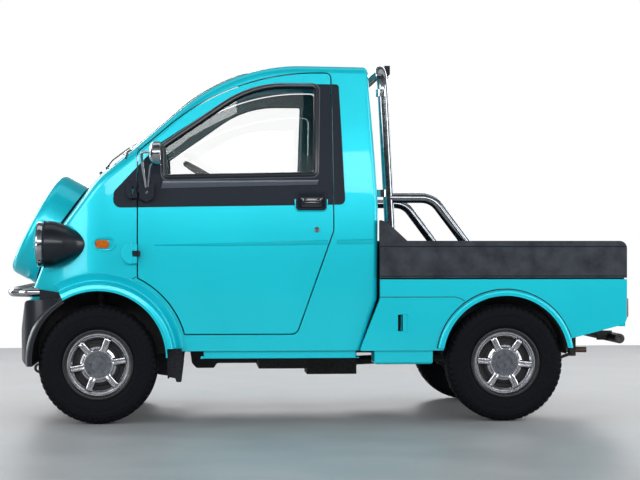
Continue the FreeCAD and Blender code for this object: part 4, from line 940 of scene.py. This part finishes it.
def wipers():
    """Two wiper arms with their blades and pivots, and two washer pegs."""
    parts = []
    for foot_y, tip_y in ((-0.30, 0.14), (0.16, 0.44)):
        arm = [on_screen(742, foot_y, 10), on_screen(706, foot_y + 0.06, 20), on_screen(610, tip_y, 16)]
        parts.append(tube(arm, 3.2, bend=20, steps=8, flat=0.7))
        blade = [on_screen(560 + 90 * k / 8, tip_y - 0.21 + 0.42 * k / 8, 7) for k in range(9)]
        parts.append(tube(blade, 4.2, steps=8, flat=0.5))
        pivot = axis_place(on_screen(744, foot_y, 0), screen_out)
        parts.append(lathe(pivot, [(-4, 14), (6, 13), (13, 9), (15, 0)], 24))
    for y in (-0.24, 0.24):
        peg = axis_place(on_screen(786, y, -2), screen_out)
        parts.append(lathe(peg, [(-3, 9), (7, 8), (14, 5), (16, 0)], 20))
    add_piece("wipers", merged(*parts), "black_plastic", [gloss_black])


def headlamps():
    """Chrome bezel with clips, a dished reflector with its bulb shield, and a ring and vent on each pod."""
    place = axis_place(lamp_left, (1, 0, 0), (0, 0, 1))
    bezel = [
        (-14, 97.6), (-13, 100.2), (-9, 101.8), (-5, 100.8), (2, 102.2), (9, 101.2), (13.6, 98.4),
        (15.6, 93.0), (14.8, 88.0), (10, 86.4), (4, 85.9),
    ]
    clips = []
    for angle in (35, 155, 275):
        spot = place(mm(4), mm(101.0), math.radians(angle))
        clips.append(lathe(axis_place(spot, (1, 0, 0)), [(-9, 5), (9, 5), (11.5, 3.5), (11.5, 0)], 16))
    add_pair("lamp_bezel", merged(lathe(place, bezel, 64), *clips), "chrome")
    bowl = [
        (0.8, 84.5), (1.0, 66.0), (1.4, 52.0), (2.4, 40.0), (3.4, 30.0), (4.8, 24.0), (9.0, 22.0),
        (11.0, 16.0), (11.6, 0.0),
    ]
    add_pair("lamp_reflector", lathe(place, bowl, 64), "chrome", [bright_steel])
    ring = lathe(place, [(-23, 105.4), (-21, 106.8), (-18, 106.6), (-16, 104.6)], 64)
    vent = [block(at(150 + 9 * k, 612, 786), at(154 + 9 * k, 621.5, 822), 1.2) for k in range(4)]
    add_pair("pod_ring", merged(ring, *vent), "black_plastic")


screen_gasket()
wipers()
headlamps()


# ---- bed, tail and hoop -----------------------------------------------------------------------
# Distances from the rear axle: the tail's face, the tailgate's inner face and the tie points.
tail = -561.0
gate_inner = tail + 36.2
tie_points = (-430, -60, 300)
hoop_y = 506


def bed_inside():
    """Raised ribs along the bed's floor and pads for the tie hooks on its walls."""
    parts = [block(at_rear(tail + 60, y - 18, 609), at_rear(530, y + 18, 617), 3)
             for y in range(-400, 401, 100)]
    for d in tie_points:
        for low, high in ((566, 582), (-582, -566)):
            parts.append(block(at_rear(d - 30, low, 740), at_rear(d + 30, high, 775), 4))
    add_piece("bed_ribs", merged(*parts), "black_plastic")


def tie_hooks():
    hooks = [tube([at_rear(d - 16, 564, 762), at_rear(d - 16, 551, 750), at_rear(d + 16, 551, 750),
                   at_rear(d + 16, 564, 762)], 3.5, bend=8, steps=8) for d in tie_points]
    add_pair("tie_hooks", merged(*hooks), "chrome", [bright_steel])


def tail_lamps():
    """Coloured panes of the tail lamps and the bezel behind them."""
    panes = [block(at_rear(tail - 17.8, low + 3, 475), at_rear(tail - 16, high - 3, 555), 0.8)
             for low, high in ((470, 508), (510, 546), (548, 585))]
    add_pair("tail_amber", panes[2], "amber_lens")
    add_pair("tail_red", merged(*panes[:2]), "red_lens")
    bezel = block(at_rear(tail - 5, 466, 466), at_rear(tail + 2, 589, 564), 2)
    add_pair("tail_bezels", bezel, "black_plastic", [gloss_black])


def tailgate_face():
    """Pressed ribs outside and inside the tailgate, and a latch with its lever at each end."""
    ribs = []
    for low, high in ((-520, -190), (-160, 160), (190, 520)):
        for z in (660, 768):
            ribs.append(block(at_rear(tail - 0.8, low, z), at_rear(tail + 3.8, high, z + 8), 0.25))
    for y in (-380, -190, 0, 190, 380):
        ribs.append(block(at_rear(gate_inner - 4, y - 20, 645), at_rear(gate_inner + 3, y + 20, 795), 2))
    add_piece("tailgate_ribs", merged(*ribs), "black_plastic", body="tailgate")
    latches = []
    for low, high in ((500, 556), (-556, -500)):
        y = (low + high) / 2
        latches.append(block(at_rear(gate_inner - 2, low, 772), at_rear(gate_inner + 9, high, 806), 3))
        lever = [at_rear(gate_inner + reach, y, z) for reach, z in ((6, 790), (14, 770), (14, 742))]
        latches.append(tube(lever, 4, bend=10, steps=10))
    add_piece("tailgate_latches", merged(*latches), "chrome", [bright_steel], "tailgate")


def hoop_details():
    """Clamp rings and brackets on the hoop, and bolts round its feet."""
    ring = [(-16, 24.2), (-16, 27), (16, 27), (16, 24.2)]
    rings, brackets, bolts = [], [], []
    for side in (1, -1):
        y = side * hoop_y
        for z in (1500, 1040):
            rings.append(lathe(axis_place(at(-1286, y, z), (0, 0, 1)), ring))
        for z in (1500, 1580):
            brackets.append(block(at(-1283, y - 14, z - 9), at(-1262, y + 14, z + 9), 3))
    for d in (-1338, -1823):
        for side in (1, -1):
            for angle in (45, 135, 225, 315):
                turn = math.radians(angle)
                spot = at(d + 31 * math.cos(turn), side * hoop_y + 31 * math.sin(turn), 626)
                bolts.append(lathe(axis_place(spot, (0, 0, 1)), [(-1, 4.5), (4, 4.5), (4, 0)], 6))
    add_piece("hoop_rings", merged(*rings), "chrome")
    add_piece("hoop_brackets", merged(*brackets), "black_plastic", [gloss_black])
    add_piece("hoop_bolts", merged(*bolts), "chrome", [bright_steel])


def inner_arches():
    """Dark inner guard of each rear wheel, over and behind the tyre: section of (across, radius)."""
    section = [(594, 289.5), (450, 289.5), (450, 170), (452, 170), (452, 287.5), (594, 287.5)]
    turns = [math.radians(angle) for angle in range(4, 177, 4)]
    verts = [at_rear(r * math.cos(turn), y, rear_arch_z + r * math.sin(turn))
             for turn in turns for y, r in section]
    add_pair("inner_arches", (verts, quads(len(turns), len(section), False, True)), "frame_black")


def rear_tube_caps():
    profile = [(-1, 22.9), (1.0, 22.6), (2.2, 20), (2.6, 12), (1.6, 10), (1.6, 0)]
    cap = lathe(axis_place(at_rear(tail - 11, 452, 366), (0, 1, 0)), profile, 40)
    add_pair("rear_tube_caps", cap, "frame_black", [finish["cast_grey"]])


bed_inside()
tie_hooks()
tail_lamps()
tailgate_face()
hoop_details()
inner_arches()
rear_tube_caps()


# ---- seats and dash ---------------------------------------------------------------------------
def modified_mesh(piece):
    """The piece's mesh with its modifiers applied, as a new mesh."""
    graph = bpy.context.evaluated_depsgraph_get()
    return bpy.data.meshes.new_from_object(piece.evaluated_get(graph))


def swollen(verts, faces, voxel, cap):
    """Stuffs a closed form: remeshed, blown up as cloth with its movement capped, then smoothed."""
    mesh = bpy.data.meshes.new("stuffing")
    mesh.from_pydata([tuple(v) for v in verts], [], faces)
    work = new_object("stuffing", mesh)
    remesh = work.modifiers.new("remesh", "REMESH")
    remesh.mode = "VOXEL"
    remesh.voxel_size = voxel
    even = modified_mesh(work)
    work.modifiers.clear()
    work.data = even
    start = [vertex.co.copy() for vertex in even.vertices]
    cloth = work.modifiers.new("cloth", "CLOTH")
    cloth.settings.use_pressure = True
    cloth.settings.uniform_pressure_force = 4.0
    cloth.settings.effector_weights.gravity = 0.0
    cloth.point_cache.frame_start = 1
    cloth.point_cache.frame_end = 20
    for step in range(1, 21):
        bpy.context.scene.frame_set(step)
    blown = modified_mesh(work)
    bpy.context.scene.frame_set(1)
    work.modifiers.clear()
    for vertex, begin, end in zip(even.vertices, start, [v.co.copy() for v in blown.vertices]):
        move = end - begin
        vertex.co = begin + move * min(1.0, cap / max(move.length, 1e-9))
    smooth = work.modifiers.new("smooth", "SUBSURF")
    smooth.levels = 1
    result = modified_mesh(work)
    points = [vertex.co.copy() for vertex in result.vertices]
    polygons = [tuple(polygon.vertices) for polygon in result.polygons]
    bpy.data.objects.remove(work)
    return points, polygons


def sewn(points, frame_of, lines, depth, width):
    """Presses channels in at the seams, on the side that faces out.

    frame_of(point) gives u, v, the way in and how far it faces out; lines give distances to the seams."""
    moved = []
    for point in points:
        u, v, inward, facing = frame_of(point)
        press = 0.0
        if facing > 0:
            gap = min(abs(distance(u, v)) for distance in lines)
            press = math.exp(-(gap / width) ** 2)
        moved.append(point + inward * depth * press)
    return moved


def border_line(half_u, half_v):
    """Distance from a rectangle's outline, negative inside it."""
    return lambda u, v: max(abs(u) - half_u, abs(v) - half_v)


def inner_cross(place, half_v):
    """Distance from a seam across the panel at a place along it."""
    return lambda u, v: abs(u - place) if abs(v) < half_v else 1.0


panel_cloth = surface(
    "seat_panel_cloth", (0.030, 0.045, 0.055), (0.070, 0.095, 0.11), 420.0, (0.8, 0.95), bump=(0.5, 0.001),
    specular=0.15, stretch=(0.2, 1.0, 0.2))
seat_mid_y = mm(275)
channel_width = mm(7.0)


def seat_x(x):
    """X of a seat station given from the middle of the wheelbase, in millimetres."""
    return (front_x + rear_x) / 2 + mm(x)


def seat_base():
    middle = Vector((seat_x(12), seat_mid_y, mm(692)))
    half_v = mm(158)
    border = border_line(mm(138), half_v)
    points, polygons = swollen(*block(middle - Vector((mm(178), mm(206), mm(38))),
                                      middle + Vector((mm(178), mm(206), mm(32))), 20), mm(8.0), mm(16.0))
    down = Vector((0, 0, -1))
    lines = [border, inner_cross(mm(-52), half_v), inner_cross(mm(44), half_v)]
    points = sewn(points, lambda p: (p.x - middle.x, p.y - middle.y, down, p.z - middle.z), lines, mm(6.5),
                  channel_width)
    return points, polygons, lambda p: p.z > middle.z and border(p.x - middle.x, p.y - middle.y) < 0


def seat_back():
    foot, head = Vector((seat_x(-142), seat_mid_y, mm(742))), Vector((seat_x(-232), seat_mid_y, mm(1150)))
    half_v = mm(150)
    border = border_line(mm(158), half_v)
    up = (head - foot).normalized()
    front = Vector((up.z, 0, -up.x))
    verts, faces = block((-mm(24), -mm(200), 0), (mm(20), mm(200), (head - foot).length), 18)
    verts = [foot + front * v.x + Vector((0, v.y, 0)) + up * v.z for v in verts]
    points, polygons = swollen(verts, faces, mm(8.0), mm(15.0))
    middle = (foot + head) / 2

    def place(p):
        off = p - middle
        return off.dot(up), off.y, -front, off.dot(front)
    lines = [border, inner_cross(mm(-52), half_v), inner_cross(mm(54), half_v)]
    points = sewn(points, place, lines, mm(6.0), channel_width)
    return points, polygons, lambda p: place(p)[3] > 0 and border(*place(p)[:2]) < 0


def seat_head():
    low, high = Vector((seat_x(-262), mm(165), mm(1192))), Vector((seat_x(-206), mm(385), mm(1306)))
    points, polygons = swollen(*block(low, high, 20), mm(7.0), mm(8.0))
    return points, polygons, lambda p: False


def seats():
    """Rods and base of each seat, and its three stuffed pads with a ribbed panel."""
    rods = [tube([(seat_x(-232), mm(y), mm(1130)), (seat_x(-236), mm(y), mm(1215))], 5.5) for y in (225, 325)]
    add_pair("seat_rods", merged(*rods), "chrome", [bright_steel])
    base = block((seat_x(-176), mm(60), mm(641)), (seat_x(194), mm(490), mm(664)), 6)
    add_pair("seat_bases", base, "black_plastic")
    for kind, maker in (("base", seat_base), ("back", seat_back), ("head", seat_head)):
        points, polygons, panel = maker()
        inner = [panel(sum((points[i] for i in polygon), Vector()) / len(polygon)) for polygon in polygons]
        for label, part in (("left", (points, polygons)), ("right", flipped((points, polygons)))):
            piece = add_piece(f"seat_{kind}_{label}", part, "seat_cloth", [finish["seat_cloth"], panel_cloth],
                              crease_angle=80.0)
            for polygon, chosen in zip(piece.data.polygons, inner):
                polygon.material_index = 1 if chosen else 0
            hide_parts("seats")


def dash_details():
    """Instrument hood, four vents and the joints of the lid on the dashboard."""
    parts = [block(at(-270, -400, 1058), at(-150, -160, 1098), 14)]
    parts += [block(at(-352, y - 38, 985), at(-338, y + 38, 1030), 4) for y in (-470, -80, 80, 470)]
    parts += [block(at(-372, y - 4, 872), at(-352, y + 4, 962), 1.5) for y in (150, 430)]
    add_piece("dash_parts", merged(*parts), "black_plastic")


seats()
dash_details()
